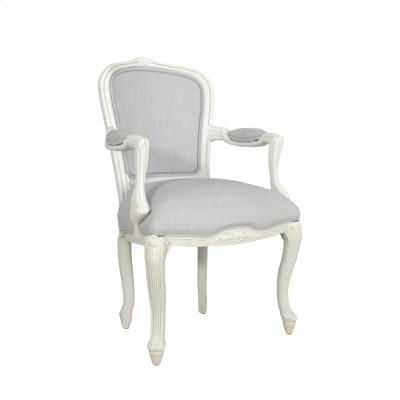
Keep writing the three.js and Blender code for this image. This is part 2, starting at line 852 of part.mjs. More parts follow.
// [share of the leg's height, share of knee reach (+) or ankle setback (-), thickness]
const frontLegTable = [
  [0, 0, FRONT_FOOT_THICKNESS * 0.8],
  [0.02, 0, FRONT_FOOT_THICKNESS],
  [0.085, 0, FRONT_TOE_THICKNESS * 0.84],
  [0.11, 0, FRONT_TOE_THICKNESS * 0.93],
  [0.145, 0.02, FRONT_TOE_THICKNESS],
  [0.18, -0.35, FRONT_TOE_THICKNESS * 0.87],
  [0.25, -0.78, FRONT_ANKLE_THICKNESS * 1.02],
  [0.33, -0.97, FRONT_ANKLE_THICKNESS],
  [0.4, -1, FRONT_ANKLE_THICKNESS],
  [0.48, -0.88, lerp(FRONT_ANKLE_THICKNESS, FRONT_KNEE_THICKNESS, 0.2)],
  [0.58, -0.56, lerp(FRONT_ANKLE_THICKNESS, FRONT_KNEE_THICKNESS, 0.42)],
  [0.68, -0.12, lerp(FRONT_ANKLE_THICKNESS, FRONT_KNEE_THICKNESS, 0.52)],
  [0.78, 0.6, lerp(FRONT_ANKLE_THICKNESS, FRONT_KNEE_THICKNESS, 0.64)],
  [0.87, 0.95, lerp(FRONT_ANKLE_THICKNESS, FRONT_KNEE_THICKNESS, 0.88)],
  [0.94, 0.3, FRONT_KNEE_THICKNESS],
  [1, 0.1, FRONT_KNEE_THICKNESS * 0.98],
];

// How broad the leg is across its front: [share of the leg's height, share of the thickness]
const frontLegBreadth = [
  [0, 1],
  [0.16, 1],
  [0.26, 1.1],
  [0.42, 1.12],
  [0.62, 1.05],
  [0.8, 1],
  [1, 1],
];

const outward = vec(Math.SQRT1_2, -Math.SQRT1_2, 0);
const crossways = vec(Math.SQRT1_2, Math.SQRT1_2, 0);

/** The leg's middle line and thickness at a share of its height. */
function frontLegAt(share) {
  const lean = along(frontLegTable.map((row) => [row[0], row[1]]), share);
  const offset = lean > 0 ? lean * FRONT_KNEE_REACH : lean * FRONT_ANKLE_SETBACK;
  const thick = along(frontLegTable.map((row) => [row[0], row[2]]), share);
  const centre = vec(frontLegX, FRONT_FOOT_Y, lerp(GLIDE_HEIGHT, SEAT_LEVEL, share));
  return { centre: centre.addScaledVector(outward, offset), thick };
}

/** The right-hand front leg before its carving and mortises. */
function frontLegBlank(grow = 0) {
  const shares = [
    0, 0.02, 0.085, 0.145, 0.18, 0.22, 0.28, 0.35, 0.44, 0.54, 0.66, 0.78, 0.86, 0.93, 1,
  ];
  const rings = shares.map((share) => {
    const { centre, thick } = frontLegAt(share);
    const half = thick / 2 + grow;
    const breadth = (thick / 2) * along(frontLegBreadth, share) + grow;
    return roundedRing(centre, outward, crossways, half, breadth, 2.5, 12);
  });
  if (grow) {
    const last = rings[rings.length - 1];
    rings.push(last.map((p) => p.clone().setZ(p.z + REBATE_HEIGHT + OVERRUN)));
  }
  return solid(loft(rings));
}

/** The raised bead that arches over the knee. */
function kneeBead() {
  const { centre, thick } = frontLegAt(0.97);
  const front = centre.clone().addScaledVector(outward, thick / 2);
  const side = KNEE_BEAD_WIDTH / 2;
  const bend = thick * 0.22;
  const knots = [
    [-1, -1, 1],
    [-0.7, -0.32, 0.5],
    [0, 0, 0],
    [0.7, -0.32, 0.5],
    [1, -1, 1],
  ].map(([across, down, back]) =>
    front
      .clone()
      .addScaledVector(crossways, across * side)
      .addScaledVector(outward, -back * bend)
      .setZ(SEAT_LEVEL - KNEE_BEAD_THICKNESS / 2 + down * KNEE_BEAD_DROP),
  );
  const profile = new THREE.Shape();
  profile.absarc(0, 0, KNEE_BEAD_THICKNESS / 2, 0, 2 * Math.PI);
  const curve = new THREE.CatmullRomCurve3(knots);
  const tube = new THREE.ExtrudeGeometry(profile, { steps: 8, curveSegments: 3, extrudePath: curve });
  return solid(tube);
}

/** A carved husk on the knee, at a height, with a size relative to the first. */
function kneeHusk(z, scale) {
  const { centre, thick } = frontLegAt((z - GLIDE_HEIGHT) / (SEAT_LEVEL - GLIDE_HEIGHT));
  const ball = new THREE.SphereGeometry(1, 6, 4);
  ball.scale((HUSK_WIDTH / 2) * scale, HUSK_HEIGHT * scale, (HUSK_LENGTH / 2) * scale);
  ball.rotateZ(Math.PI / 4);
  const front = centre.addScaledVector(outward, thick / 2 - HUSK_HEIGHT * scale * 0.45);
  ball.translate(front.x, front.y, z);
  return solid(ball);
}

/** Tenon of the front rail in the right-hand leg. */
function frontRailTenon(grow = 0) {
  const x = frontLegX - FRONT_KNEE_THICKNESS / 2;
  const y = seatFrontEdge(x) + RAIL_INSET + RAIL_THICKNESS * 0.55;
  const z = SEAT_LEVEL - FRONT_RAIL_HEIGHT / 2;
  const size = vec(1.6 * TENON_LENGTH, TENON_THICKNESS, TENON_HEIGHT);
  return block(vec(x, y, z), size.addScalar(2 * grow));
}

/** Tenon of the right-hand side rail in the front leg. */
function sideRailFrontTenon(grow = 0) {
  const y = FRONT_FOOT_Y + FRONT_KNEE_THICKNESS / 2;
  const x = seatSideEdge(y) - RAIL_INSET - RAIL_THICKNESS * 0.6;
  const z = SEAT_LEVEL - SIDE_RAIL_HEIGHT / 2 - SIDE_RAIL_FALL * 0.2;
  const size = vec(TENON_THICKNESS, 1.6 * TENON_LENGTH, TENON_HEIGHT * 0.8);
  return block(vec(x, y, z), size.addScalar(2 * grow));
}

/** Tenon of the right-hand side rail in the back leg. */
function sideRailBackTenon(grow = 0) {
  const x = stileOuterX(SEAT_LEVEL) - STILE_FACE_WIDTH * 0.3;
  const z = sideTopZ(stileFaceY) - SIDE_RAIL_HEIGHT / 2;
  const size = vec(TENON_THICKNESS, 1.4 * TENON_LENGTH, TENON_HEIGHT);
  return block(vec(x, stileFaceY, z), size.addScalar(2 * grow));
}

// Back seat rail, curved between the back legs

const backRailTop = deckZ(sideBackY);

/** Middle line of the back seat rail. */
function backRailY(x) {
  return backFaceY(x, SEAT_LEVEL) + BACK_POST_DEPTH * 0.45;
}

/** The back seat rail, run into both legs. */
function backRailBlank(grow = 0) {
  const reach = stileOuterX(SEAT_LEVEL) - STILE_FACE_WIDTH * 0.8;
  const half = BACK_RAIL_THICKNESS / 2 + grow;
  const rings = steps(-reach, reach, 8).map((x) => {
    const front = backRailY(x) - half;
    const back = backRailY(x) + half;
    const bottom = backRailTop - BACK_RAIL_HEIGHT;
    return [
      vec(x, front, bottom),
      vec(x, front, deckZ(front)),
      vec(x, back, deckZ(back)),
      vec(x, back, bottom),
    ];
  });
  return solid(loft(rings));
}

/** Tenon of the back seat rail in the right-hand leg. */
function backRailTenon(grow = 0) {
  const x = stileOuterX(SEAT_LEVEL) - STILE_FACE_WIDTH;
  const z = backRailTop - BACK_RAIL_HEIGHT / 2;
  const size = vec(1.3 * TENON_LENGTH, TENON_THICKNESS, TENON_HEIGHT);
  return block(vec(x, backRailY(x) - TENON_THICKNESS * 0.2, z), size.addScalar(2 * grow));
}

// Arms

const knuckleX = ARM_WIDTH / 2 - ARM_THICKNESS / 2;
const armRootX = stileOuterX(ARM_HEIGHT) - STILE_FACE_WIDTH * 0.25;
const armRootY = backFaceY(armRootX, ARM_HEIGHT) + BACK_THICKNESS * 0.3;
const padBackY = PAD_MIDDLE_Y + PAD_LENGTH / 2;
const padFrontY = PAD_MIDDLE_Y - PAD_LENGTH / 2;

/** X of the arm's middle line at a place from front to back. */
function armX(y) {
  const t = (y - KNUCKLE_Y) / (armRootY - KNUCKLE_Y);
  return along(
    [
      [0, knuckleX],
      [0.3, knuckleX],
      [0.5, lerp(armRootX, knuckleX, 0.95)],
      [0.7, lerp(armRootX, knuckleX, 0.76)],
      [0.86, lerp(armRootX, knuckleX, 0.4)],
      [1, armRootX],
    ],
    t,
  );
}

const trayMiddle = ARM_TRAY_TOP - ARM_TRAY_DEPTH / 2;
const armFrontZ = KNUCKLE_TOP - ARM_DEPTH / 2;
const armBackZ = ARM_HEIGHT - ARM_DEPTH * 0.06;

// Sections of the arm: [y, middle height, width, depth], from the stile to the knuckle
const armStations = [
  [armRootY, armBackZ, ARM_THICKNESS * 0.95, ARM_DEPTH * 1.3],
  [lerp(armRootY, padBackY, 0.35), armBackZ, ARM_THICKNESS * 0.88, ARM_DEPTH * 1.16],
  [lerp(armRootY, padBackY, 0.75), armBackZ - ARM_DEPTH * 0.04, ARM_THICKNESS * 0.96, ARM_DEPTH * 1.1],
  [padBackY + ARM_DEPTH * 0.08, armBackZ - ARM_DEPTH * 0.16, ARM_TRAY_WIDTH * 0.72, ARM_DEPTH],
  [padBackY - ARM_DEPTH * 0.14, trayMiddle, ARM_TRAY_WIDTH * 0.84, ARM_TRAY_DEPTH * 1.1],
  [lerp(padBackY, padFrontY, 0.3), trayMiddle, ARM_TRAY_WIDTH, ARM_TRAY_DEPTH],
  [lerp(padBackY, padFrontY, 0.7), trayMiddle, ARM_TRAY_WIDTH, ARM_TRAY_DEPTH],
  [padFrontY + ARM_DEPTH * 0.14, trayMiddle, ARM_TRAY_WIDTH * 0.8, ARM_TRAY_DEPTH * 1.1],
  [padFrontY - ARM_DEPTH * 0.08, armFrontZ - ARM_DEPTH * 0.12, ARM_THICKNESS * 1.2, ARM_DEPTH * 1.04],
  [lerp(padFrontY, KNUCKLE_Y, 0.4), armFrontZ - ARM_DEPTH * 0.03, ARM_THICKNESS * 1.08, ARM_DEPTH * 1.08],
  [lerp(padFrontY, KNUCKLE_Y, 0.85), armFrontZ - ARM_DEPTH * 0.05, ARM_THICKNESS * 1.06, ARM_DEPTH],
  [KNUCKLE_Y - ARM_DEPTH * 0.22, armFrontZ - ARM_DEPTH * 0.08, ARM_THICKNESS * 1.05, ARM_DEPTH * 0.95],
  [KNUCKLE_Y - ARM_DEPTH * 0.42, armFrontZ - ARM_DEPTH * 0.18, ARM_THICKNESS, ARM_DEPTH * 0.72],
];

/** The right-hand arm, its ends not yet fitted. */
function armBlank(grow = 0) {
  const rings = armStations.map(([y, z, width, depth]) =>
    roundedRing(
      vec(armX(y), y, z),
      vec(1, 0, 0),
      vec(0, 0, 1),
      width / 2 + grow,
      depth / 2 + grow,
      3,
      12,
    ),
  );
  return solid(loft(rings));
}

/** Tenon of the arm in the stile. */
function armTenon(grow = 0) {
  const size = vec(TENON_THICKNESS, 2 * ARM_TENON_LENGTH, TENON_HEIGHT);
  const y = backFaceY(armRootX, ARM_HEIGHT);
  return block(vec(armRootX, y, ARM_HEIGHT), size.addScalar(2 * grow));
}

// Arm supports

const supportFootZ = sideTopZ(SUPPORT_Y) - REBATE_HEIGHT * 0.4;
const supportHeadZ = armFrontZ - ARM_DEPTH * 0.1;
const supportHeight = supportHeadZ - supportFootZ;

// [share of height, share of the scroll's thickness, share of its depth, lean in shares of the
// thickness, how far it is set back in shares of the depth]
const supportShares = [
  [0, 0.74, 0.46, 0.1, 0.1],
  [0.08, 0.7, 0.4, 0.16, 0.08],
  [0.15, 0.71, 0.39, 0.24, 0.05],
  [0.22, 0.95, 0.66, 0.36, -0.1],
  [0.29, 1.08, 0.9, 0.42, -0.22],
  [0.36, 1.04, 0.83, 0.4, -0.2],
  [0.42, 0.97, 0.7, 0.34, -0.12],
  [0.53, 0.84, 0.56, 0.18, -0.02],
  [0.63, 0.76, 0.46, 0.05, 0.03],
  [0.77, 0.74, 0.42, -0.06, 0.07],
  [0.88, 0.9, 0.72, 0.04, 0.08],
  [1, 1, 1.02, 0.16, 0.04],
];

/** The right-hand support, its ends not yet fitted. */
function supportBlank(grow = 0) {
  const rings = supportShares.map(([up, thick, deep, lean, back]) => {
    const x = knuckleX + (lean - 0.12) * SUPPORT_THICKNESS;
    const y = SUPPORT_Y + back * SUPPORT_DEPTH;
    const centre = vec(x, y, supportFootZ + up * supportHeight);
    const halfThick = (SUPPORT_THICKNESS * thick) / 2 + grow;
    const halfDepth = (SUPPORT_DEPTH * deep) / 2 + grow;
    return roundedRing(centre, vec(1, 0, 0), vec(0, 1, 0), halfThick, halfDepth, 3.4, 12);
  });
  return solid(loft(rings));
}

/** The scroll's eye, a raised button that goes through the support from side to side. */
function scrollEye(grow = 0) {
  const radius = SCROLL_EYE_DIAMETER / 2 + grow;
  const length = 1.08 * SUPPORT_THICKNESS + 2 * (SCROLL_EYE_HEIGHT + grow);
  const button = new THREE.CylinderGeometry(radius, radius, length, 8);
  button.rotateZ(Math.PI / 2);
  const x = knuckleX + 0.3 * SUPPORT_THICKNESS;
  button.translate(x, SUPPORT_Y - SUPPORT_DEPTH * 0.28, supportFootZ + 0.28 * supportHeight);
  return solid(button);
}

/** Tenon at the support's foot, let into the side rail. */
function supportTenon(grow = 0) {
  const x = seatSideEdge(SUPPORT_Y) - RAIL_INSET - RAIL_THICKNESS / 2;
  const size = vec(TENON_THICKNESS, TENON_HEIGHT * 0.8, ARM_TENON_LENGTH * 2);
  return block(vec(x, SUPPORT_Y, supportFootZ), size.addScalar(2 * grow));
}

/** Tenon at the support's head, let into the arm. */
function supportHeadTenon(grow = 0) {
  const size = vec(TENON_THICKNESS, TENON_HEIGHT, ARM_TENON_LENGTH * 2);
  const z = armFrontZ - ARM_DEPTH / 2;
  return block(vec(armX(SUPPORT_Y), SUPPORT_Y, z), size.addScalar(2 * grow));
}

// Upholstery: shells and pads are built from rings of a closed outline

/** A closed outline's points moved inward in its own plane, along two axes. */
function insetOutline(points, inset, u, v) {
  return points.map((p, i) => {
    const before = points[(i + points.length - 1) % points.length];
    const after = points[(i + 1) % points.length];
    const du = after[u] - before[u];
    const dv = after[v] - before[v];
    const length = Math.hypot(du, dv);
    const moved = p.clone();
    moved[u] -= (dv / length) * inset;
    moved[v] += (du / length) * inset;
    return moved;
  });
}

/** A shell between an outer and an inner stack of rings that both run from the edge to the middle. */
function shell(outerRings, innerRings) {
  const rings = [...innerRings.slice().reverse(), ...outerRings];
  return loft(rings);
}

/** The twin-welt section: [along the width, out from the seat] for the given number of cords. */
function weltSection(rows, radius) {
  const section = [];
  const lobe = (centre, from, to, count) => {
    for (const angle of steps(from, to, count)) {
      section.push([centre + radius * Math.cos(angle), radius * Math.sin(angle)]);
    }
  };
  const centre = (rows - 1) * radius;
  const turn = Math.PI / 2;
  const dip = rows > 1 ? 0.7 * turn : 0;
  lobe(centre, -turn, turn + dip, 3);
  if (rows > 1) lobe(-centre, turn - dip, 3 * turn, 3);
  else lobe(-centre, 1.5 * turn, 2.5 * turn, 1);
  return section;
}

/** A welt along a path: each point has a direction for its width and one for its height. */
function welt(path, rows, radius, loop, place = (p) => p) {
  const section = weltSection(rows, radius);
  const rings = path.map(({ at, width, height }) =>
    section.map(([a, b]) => place(at.clone().addScaledVector(width, a).addScaledVector(height, b))),
  );
  return solid(loft(rings, { loop }));
}

// Seat

// The outline as the upholstery uses it
const seatOutline = (() => {
  const front = frontStations.map((x) => vec(x, seatFrontEdge(x), 0));
  const side = sideStations.map((y) => vec(seatSideEdge(y), y, 0));
  const right = [planPoint(seatPlanShares[cornerRow]), ...side];
  right.push(...seatPlanShares.slice(stileRow).map((row) => planPoint(row)));
  const left = right.slice(0, -1).map((p) => vec(-p.x, p.y, 0));
  return [...front, ...right, ...left.reverse()];
})();
const seatMiddle = vec(0, lerp(SEAT_FRONT_Y, SEAT_BACK_Y, 0.47), 0);

/** Height of the show wood's top under a point of the seat's outline. */
function rimZ(p) {
  return p.y < FRONT_FOOT_Y ? frontTopZ(Math.min(Math.abs(p.x), frontLegX)) : sideTopZ(p.y);
}

/** A ring of the seat: the outline inset, drawn to the middle by a share, at heights from a rule. */
function seatRing(inset, share, height) {
  return insetOutline(seatOutline, inset, "x", "y").map((p) => {
    const at = p.clone().sub(seatMiddle).multiplyScalar(share).add(seatMiddle);
    return at.setZ(height(p));
  });
}

/** Height of the seat's shoulder over a point of the outline, rising to the back. */
function shoulderZ(p) {
  const back = Math.max(0, (p.y - SEAT_FRONT_Y) / seatDepth);
  return SEAT_LEVEL + SEAT_SIDE_HEIGHT + back * SEAT_SIDE_HEIGHT * 0.42;
}

const seatCrownZ = SEAT_LEVEL + SEAT_CROWN;
const weltHeight = WELT_DIAMETER * WELT_ROWS;

/** Whether a point of the seat's outline lies between the stiles. */
const isBetweenStiles = (p) => p.y > stileFaceY && Math.abs(p.x) < stileOuterX(SEAT_LEVEL);

/** Height of the cover's lower edge: over the welt, or on the back rail between the stiles. */
function skirtZ(p) {
  return isBetweenStiles(p) ? deckZ(p.y) + CLEARANCE : rimZ(p) + weltHeight + 2 * CLEARANCE;
}

// The seat's section from its lower edge to its middle: [inset, share kept, height from 0 skirt,
// 1 shoulder to 2 crown]
const seatSectionShares = [
  [0.45, 1, 0],
  [-0.7, 1, 0.45],
  [-0.05, 1, 1],
  [1.8, 1, 1.28],
  [2.9, 0.93, 1.58],
  [2.9, 0.66, 1.87],
  [2.9, 0.3, 2],
];

/** The rings of the seat's outer surface, or of one that lies inside it by an amount. */
function seatRings(under = 0, from = 0) {
  return seatSectionShares.slice(from).map(([inset, share, level]) => {
    const height = (p) => {
      const low = Math.min(level, 1);
      const high = Math.max(level - 1, 0);
      const side = lerp(skirtZ(p), shoulderZ(p), low);
      const eased = isBetweenStiles(p) ? high * (1 - SEAT_BACK_FALL * share) : high;
      return lerp(side, seatCrownZ, eased) - under * high;
    };
    return seatRing(inset * SEAT_SKIRT + under, share, height);
  });
}

/** The seat's cover: linen over its wadding, thick round the skirt and thin over the top. */
function seatCover() {
  const inner = [
    seatRing(SEAT_SKIRT - 2 * CLEARANCE, 1, skirtZ),
    seatRing(SEAT_SKIRT - 2 * CLEARANCE, 1, (p) => Math.max(deckZ(p.y), skirtZ(p)) + WELT_DIAMETER),
    ...seatRings(SEAT_COVER_THICKNESS, 2),
  ];
  return solid(shell(seatRings(), inner));
}

const foamBase = (p) => deckZ(p.y) + HESSIAN_THICKNESS + WEB_THICKNESS + 3 * CLEARANCE;

/** The seat's foam, from the hessian to the cover's inner side. */
function seatFoam() {
  const edge = SEAT_SKIRT + CLEARANCE;
  const rings = [
    seatRing(edge, 1, foamBase),
    seatRing(edge, 1, (p) => foamBase(p) + WELT_DIAMETER * 1.8),
    ...seatRings(SEAT_COVER_THICKNESS + 3 * CLEARANCE, 3),
  ];
  return solid(loft(rings));
}

/** A flat sheet that lies on the deck's leaning plane. */
function deckSheet(inset, lift, thickness) {
  const ring = (up) => {
    const points = seatRing(inset, 1, () => 0);
    return points.map((p) => p.setZ(deckZ(p.y) + lift + up));
  };
  return solid(loft([ring(0), ring(thickness)]));
}

/** The seat's webbing: straps from front to back and from side to side, interlaced in one plane. */
function seatWebbing() {
  const slope = Math.atan(SIDE_RAIL_FALL / (sideBackY - sideFrontY));
  const pitch = WEB_WIDTH * 2;
  const edge = RAIL_INSET + REBATE_DEPTH + 2 * WEB_THICKNESS;
  const strap = (x, y, size) => {
    const z = deckZ(y) + CLEARANCE + WEB_THICKNESS / 2;
    return block(vec(x, y, z), size, 0, -slope);
  };
  let straps = null;
  for (const i of [-1, 0, 1]) {
    const x = i * pitch;
    const front = seatFrontEdge(Math.abs(x) + WEB_WIDTH / 2) + edge;
    const back = backRailY(Math.abs(x) + WEB_WIDTH / 2) - SEAT_SKIRT;
    const length = (back - front) / Math.cos(slope);
    const long = strap(x, (front + back) / 2, vec(WEB_WIDTH, length, WEB_THICKNESS));
    straps = straps ? straps.add(long) : long;
    const y = seatMiddleY + i * pitch;
    const half = seatSideEdge(y + WEB_WIDTH / 2) - edge;
    straps = straps.add(strap(0, y, vec(2 * half, WEB_WIDTH, WEB_THICKNESS)));
  }
  return straps;
}

/** The seat's twin welt along a stretch of the rails' rebate. */
function seatWelt(points) {
  const radius = WELT_DIAMETER / 2;
  const path = points.map((p, i) => {
    const before = points[Math.max(i - 1, 0)];
    const after = points[Math.min(i + 1, points.length - 1)];
    const run = after.clone().sub(before).setZ(0).normalize();
    const out = vec(run.y, -run.x, 0);
    return { at: p, width: vec(0, 0, 1), height: out };
  });
  return welt(path, WELT_ROWS, radius, false);
}

/** The welt's line along a stretch of the seat's outline, given as indices of its points. */
function weltPoints(indices) {
  const inset = RAIL_INSET + REBATE_DEPTH - WELT_DIAMETER / 2 - 2 * CLEARANCE;
  const ring = insetOutline(seatOutline, inset, "x", "y");
  return indices.map((i) => {
    const rim = rimZ(seatOutline[i]);
    return ring[i].clone().setZ(rim + weltHeight / 2 + CLEARANCE);
  });
}

// Back upholstery

/** The back opening's outline, inside the frame, in order round it. */
const backOutline = (() => {
  const top = crestLine(crestInnerShares, backHalf - STILE_FACE_WIDTH, crestRise - CREST_FACE_WIDTH);
  const right = stileStations.slice(0, -1).map((z) => vec(stileOuterX(z) - STILE_FACE_WIDTH, 0, z));
  const left = right.map((p) => vec(-p.x, 0, p.z)).reverse();
  const railHalf = stileOuterX(LOWER_RAIL_TOP - LOWER_RAIL_HEIGHT / 2) - STILE_FACE_WIDTH;
  const bottom = lowerRailStations.map((share) => {
    const rise = along(lowerRailShares, Math.abs(share)) * LOWER_CORNER_RISE;
    return vec(share * railHalf, 0, LOWER_RAIL_TOP + rise);
  });
  return [...bottom, ...right, ...top, ...left];
})();
const backMiddle = vec(0, 0, lerp(LOWER_RAIL_TOP, CHAIR_HEIGHT - CREST_FACE_WIDTH, 0.5));

/** A flat point of the back, its Y a depth behind the face, laid on the face's curve. */
const onBack = (p) => p.clone().setY(backFaceY(p.x, p.z) + p.y);

/** A flat ring of the back: the opening's outline inset, drawn in by a share, at a depth. */
function flatBackRing(inset, share, depth) {
  return insetOutline(backOutline, inset, "x", "z").map((p) =>
    vec(p.x * share, depth, lerp(backMiddle.z, p.z, share)),
  );
}

/** The same ring on the back's curve. */
const backRing = (inset, share, depth) => flatBackRing(inset, share, depth).map(onBack);

// The back panel's section from its edge to its middle: [inset in welts, share kept, share of crown]
const backSectionShares = [
  [0.06, 1, 0],
  [1.1, 1, 0],
  [1.7, 1, 0.45],
  [2.6, 0.93, 0.8],
  [2.6, 0.5, 1],
];

/** The rings of the back panel's front, or of a surface behind it. */
function backRings(behind = 0, from = 0) {
  return backSectionShares.slice(from).map(([inset, share, crown]) => {
    const depth = lerp(BACK_PAD_SEAT, -BACK_CROWN, crown) + behind;
    return backRing(inset * weltHeight, share, depth);
  });
}

const panelShares = [0.5, 1];

/** A thin panel across the back's opening. */
function backPanel(inset, depth, thickness) {
  const front = panelShares.map((share) => backRing(inset, share, depth));
  const rear = panelShares.map((share) => backRing(inset, share, depth + thickness));
  return solid(loft([...rear, ...front.reverse()]));
}

/** The welt round the back panel's edge. */
function backWelt() {
  const radius = WELT_DIAMETER / 2;
  const inset = CLEARANCE + weltHeight / 2;
  const depth = BACK_PAD_SEAT - CLEARANCE - radius;
  const points = flatBackRing(inset, 1, depth);
  const path = points.map((p, i) => {
    const before = points[(i + points.length - 1) % points.length];
    const after = points[(i + 1) % points.length];
    const run = after.clone().sub(before).setY(0).normalize();
    return { at: p, width: vec(run.z, 0, -run.x), height: vec(0, -1, 0) };
  });
  return welt(path, WELT_ROWS, radius, true, onBack);
}

// Arm pads

const PAD_POINTS = 16;

/** A ring of the arm pad at a share of its plan, a margin outside it and a height. */
function padRing(share, margin, z) {
  return Array.from({ length: PAD_POINTS }, (_, i) => {
    const angle = (2 * Math.PI * (i + 0.5)) / PAD_POINTS;
    const c = Math.cos(angle);
    const s = Math.sin(angle);
    const halfLength = (PAD_LENGTH / 2 - WELT_DIAMETER) * share + margin;
    const halfWidth = (PAD_WIDTH / 2 - WELT_DIAMETER) * share + margin;
    const y = PAD_MIDDLE_Y + Math.sign(s) * Math.abs(s) ** 0.75 * halfLength;
    const x = armX(y) + Math.sign(c) * Math.abs(c) ** 0.75 * halfWidth;
    return vec(x, y, z);
  });
}

const padBase = ARM_TRAY_TOP + CLEARANCE;

// The pad's section: [share of its plan, share of the welt's width outside it, share of its height]
const padSectionShares = [
  [1, 0, 0],
  [1, 0, 0.26],
  [1, 0.8, 0.42],
  [1, 0.3, 0.7],
  [0.78, 0, 0.92],
  [0.4, 0, 1],
];

/** The rings of the pad's surface, or of one inside it. */
function padRings(under = 0, from = 0) {
  return padSectionShares.slice(from).map(([share, out, up]) => {
    const z = padBase + up * (PAD_HEIGHT - under);
    return padRing(share, out * WELT_DIAMETER - under, z);
  });
}

/** The welt round the arm pad's foot. */
function padWelt() {
  const radius = WELT_DIAMETER / 2;
  const points = padRing(1, radius + CLEARANCE, padBase + weltHeight / 2);
  const path = points.map((p, i) => {
    const before = points[(i + points.length - 1) % points.length];
    const after = points[(i + 1) % points.length];
    const run = after.clone().sub(before).normalize();
    return { at: p, width: vec(0, 0, 1), height: vec(run.y, -run.x, 0) };
  });
  return welt(path, WELT_ROWS, radius, true);
}

// Corner blocks, screws and glides

// Where each right-hand block crosses its corner: its middle and the direction out to the leg
const blockPlaces = {
  front: {
    at: vec(seatHalf * 0.72, FRONT_FOOT_Y + FRONT_KNEE_THICKNESS * 0.95, 0),
    out: vec(1, -1, 0),
  },
  back: {
    at: vec(stileOuterX(SEAT_LEVEL) * 0.63, sideBackY - BACK_POST_DEPTH * 1.35, 0),
    out: vec(1, 0.8, 0),
  },
};

/** A diagonal block under the deck, its middle at a place, lying across a direction. */
function cornerBlock({ at, out }) {
  const turn = Math.atan2(out.y, out.x) - Math.PI / 2;
  const z = deckZ(at.y) - BLOCK_DROP - BLOCK_HEIGHT / 2;
  const centre = vec(at.x, at.y, z);
  return block(centre, vec(BLOCK_LENGTH, BLOCK_THICKNESS, BLOCK_HEIGHT), turn);
}

/** A screw through a block towards its leg, or the hole for one. */
function blockScrew({ at, out }, grow = 0) {
  const radius = SCREW_DIAMETER / 2 + grow;
  const headRadius = SCREW_HEAD_DIAMETER / 2 + grow;
  const head = grow ? SCREW_HEAD_HEIGHT + OVERRUN : SCREW_HEAD_HEIGHT;
  const profile = [
    [0, -head],
    [headRadius, -head],
    [headRadius, grow],
    [radius, grow],
    [radius, SCREW_LENGTH * 0.86],
    [0, SCREW_LENGTH + grow],
  ].map(([r, y]) => new THREE.Vector2(r, y));
  const screw = new THREE.LatheGeometry(profile, 8);
  screw.rotateZ(-Math.PI / 2);
  screw.rotateZ(Math.atan2(out.y, out.x));
  const headSeat = CLEARANCE - BLOCK_THICKNESS / 2 + SCREW_HEAD_HEIGHT;
  const start = at.clone().addScaledVector(out.clone().normalize(), headSeat);
  screw.translate(start.x, start.y, deckZ(at.y) - BLOCK_DROP - BLOCK_HEIGHT / 2);
  return solid(screw);
}

/** A glide with its pin, or the hole for the pin, under a foot. */
function glide(foot, grow = 0) {
  const pin = GLIDE_PIN_DIAMETER / 2 + grow;
  const radius = GLIDE_DIAMETER / 2;
  const edge = GLIDE_HEIGHT * 0.3;
  const profile = [
    [0, 0],
    [radius - edge, 0],
    [radius, edge],
    [radius, GLIDE_HEIGHT - CLEARANCE],
    [pin, GLIDE_HEIGHT - CLEARANCE],
    [pin, GLIDE_HEIGHT + GLIDE_PIN_LENGTH + grow],
    [0, GLIDE_HEIGHT + GLIDE_PIN_LENGTH + grow],
  ].map(([r, y]) => new THREE.Vector2(r, y));
  const button = new THREE.LatheGeometry(profile, 10);
  button.rotateX(Math.PI / 2);
  button.translate(foot.x, foot.y, 0);
  return solid(button);
}

// Build the frame

const mirrorSolid = (manifold) => solid(mirrored(shape(manifold)));
const both = (manifold) => manifold.add(mirrorSolid(manifold));

const legCutter = frontLegBlank(CLEARANCE);
const backLegCutter = backLegBlank(CLEARANCE);
const armCutter = armBlank(CLEARANCE);
const supportCutter = supportBlank(CLEARANCE).add(scrollEye(CLEARANCE));
const frontFoot = vec(frontLegX, FRONT_FOOT_Y, 0);
const backFootRing = backLegRing(0);
const backFoot = vec(0, 0, 0);
for (const p of backFootRing) backFoot.addScaledVector(p, 1 / backFootRing.length);

let frontLeg = frontLegBlank().add(kneeBead());
for (const [drop, scale] of [
  [0.65, 1],
  [1.6, 0.85],
  [2.4, 0.68],
  [3.05, 0.5],
]) {
  frontLeg = frontLeg.add(kneeHusk(SEAT_LEVEL - KNEE_BEAD_THICKNESS - HUSK_LENGTH * drop, scale));
}
frontLeg = frontLeg
  .subtract(frontRailTenon(CLEARANCE))
  .subtract(sideRailFrontTenon(CLEARANCE))
  .subtract(blockScrew(blockPlaces.front, CLEARANCE))
  .subtract(glide(frontFoot, CLEARANCE));
addPair("front_leg", shape(frontLeg), "painted_wood");

const frontRail = frontRailBlank().add(railCarving()).subtract(both(legCutter)).add(both(frontRailTenon()));
add("seat_front_rail", shape(frontRail), "painted_wood");

const sideRail = sideRailBlank()
  .subtract(legCutter)
  .subtract(backLegCutter)
  .add(sideRailFrontTenon())
  .add(sideRailBackTenon())
  .subtract(supportTenon(CLEARANCE))
  .subtract(supportCutter);
addPair("seat_side_rail", shape(sideRail), "painted_wood");

const backLeg = backLegBlank()
  .add(crestTenon())
  .subtract(lowerRailTenon(CLEARANCE))
  .subtract(sideRailBackTenon(CLEARANCE))
  .subtract(backRailTenon(CLEARANCE))
  .subtract(armTenon(CLEARANCE))
  .subtract(blockScrew(blockPlaces.back, CLEARANCE))
  .subtract(glide(backFoot, CLEARANCE));
addPair("back_leg_and_stile", shape(backLeg), "painted_wood");

const crest = crestBlank().add(crestCarving()).subtract(both(crestTenon(CLEARANCE)));
add("crest_rail", shape(crest), "painted_wood");

const lowerRail = lowerRailBlank().subtract(both(backLegCutter)).add(both(lowerRailTenon()));
add("back_lower_rail", mainBody(lowerRail), "painted_wood");

const backRail = backRailBlank().subtract(both(backLegCutter)).add(both(backRailTenon()));
add("seat_back_rail", shape(backRail), "painted_wood");

const arm = armBlank().subtract(backLegCutter).add(armTenon()).subtract(supportHeadTenon(CLEARANCE));
addPair("arm", shape(arm), "painted_wood");

const support = supportBlank()
  .add(scrollEye())
  .subtract(armCutter)
  .add(supportTenon())
  .add(supportHeadTenon());
addPair("arm_support", mainBody(support), "painted_wood");

// Build what is under the seat

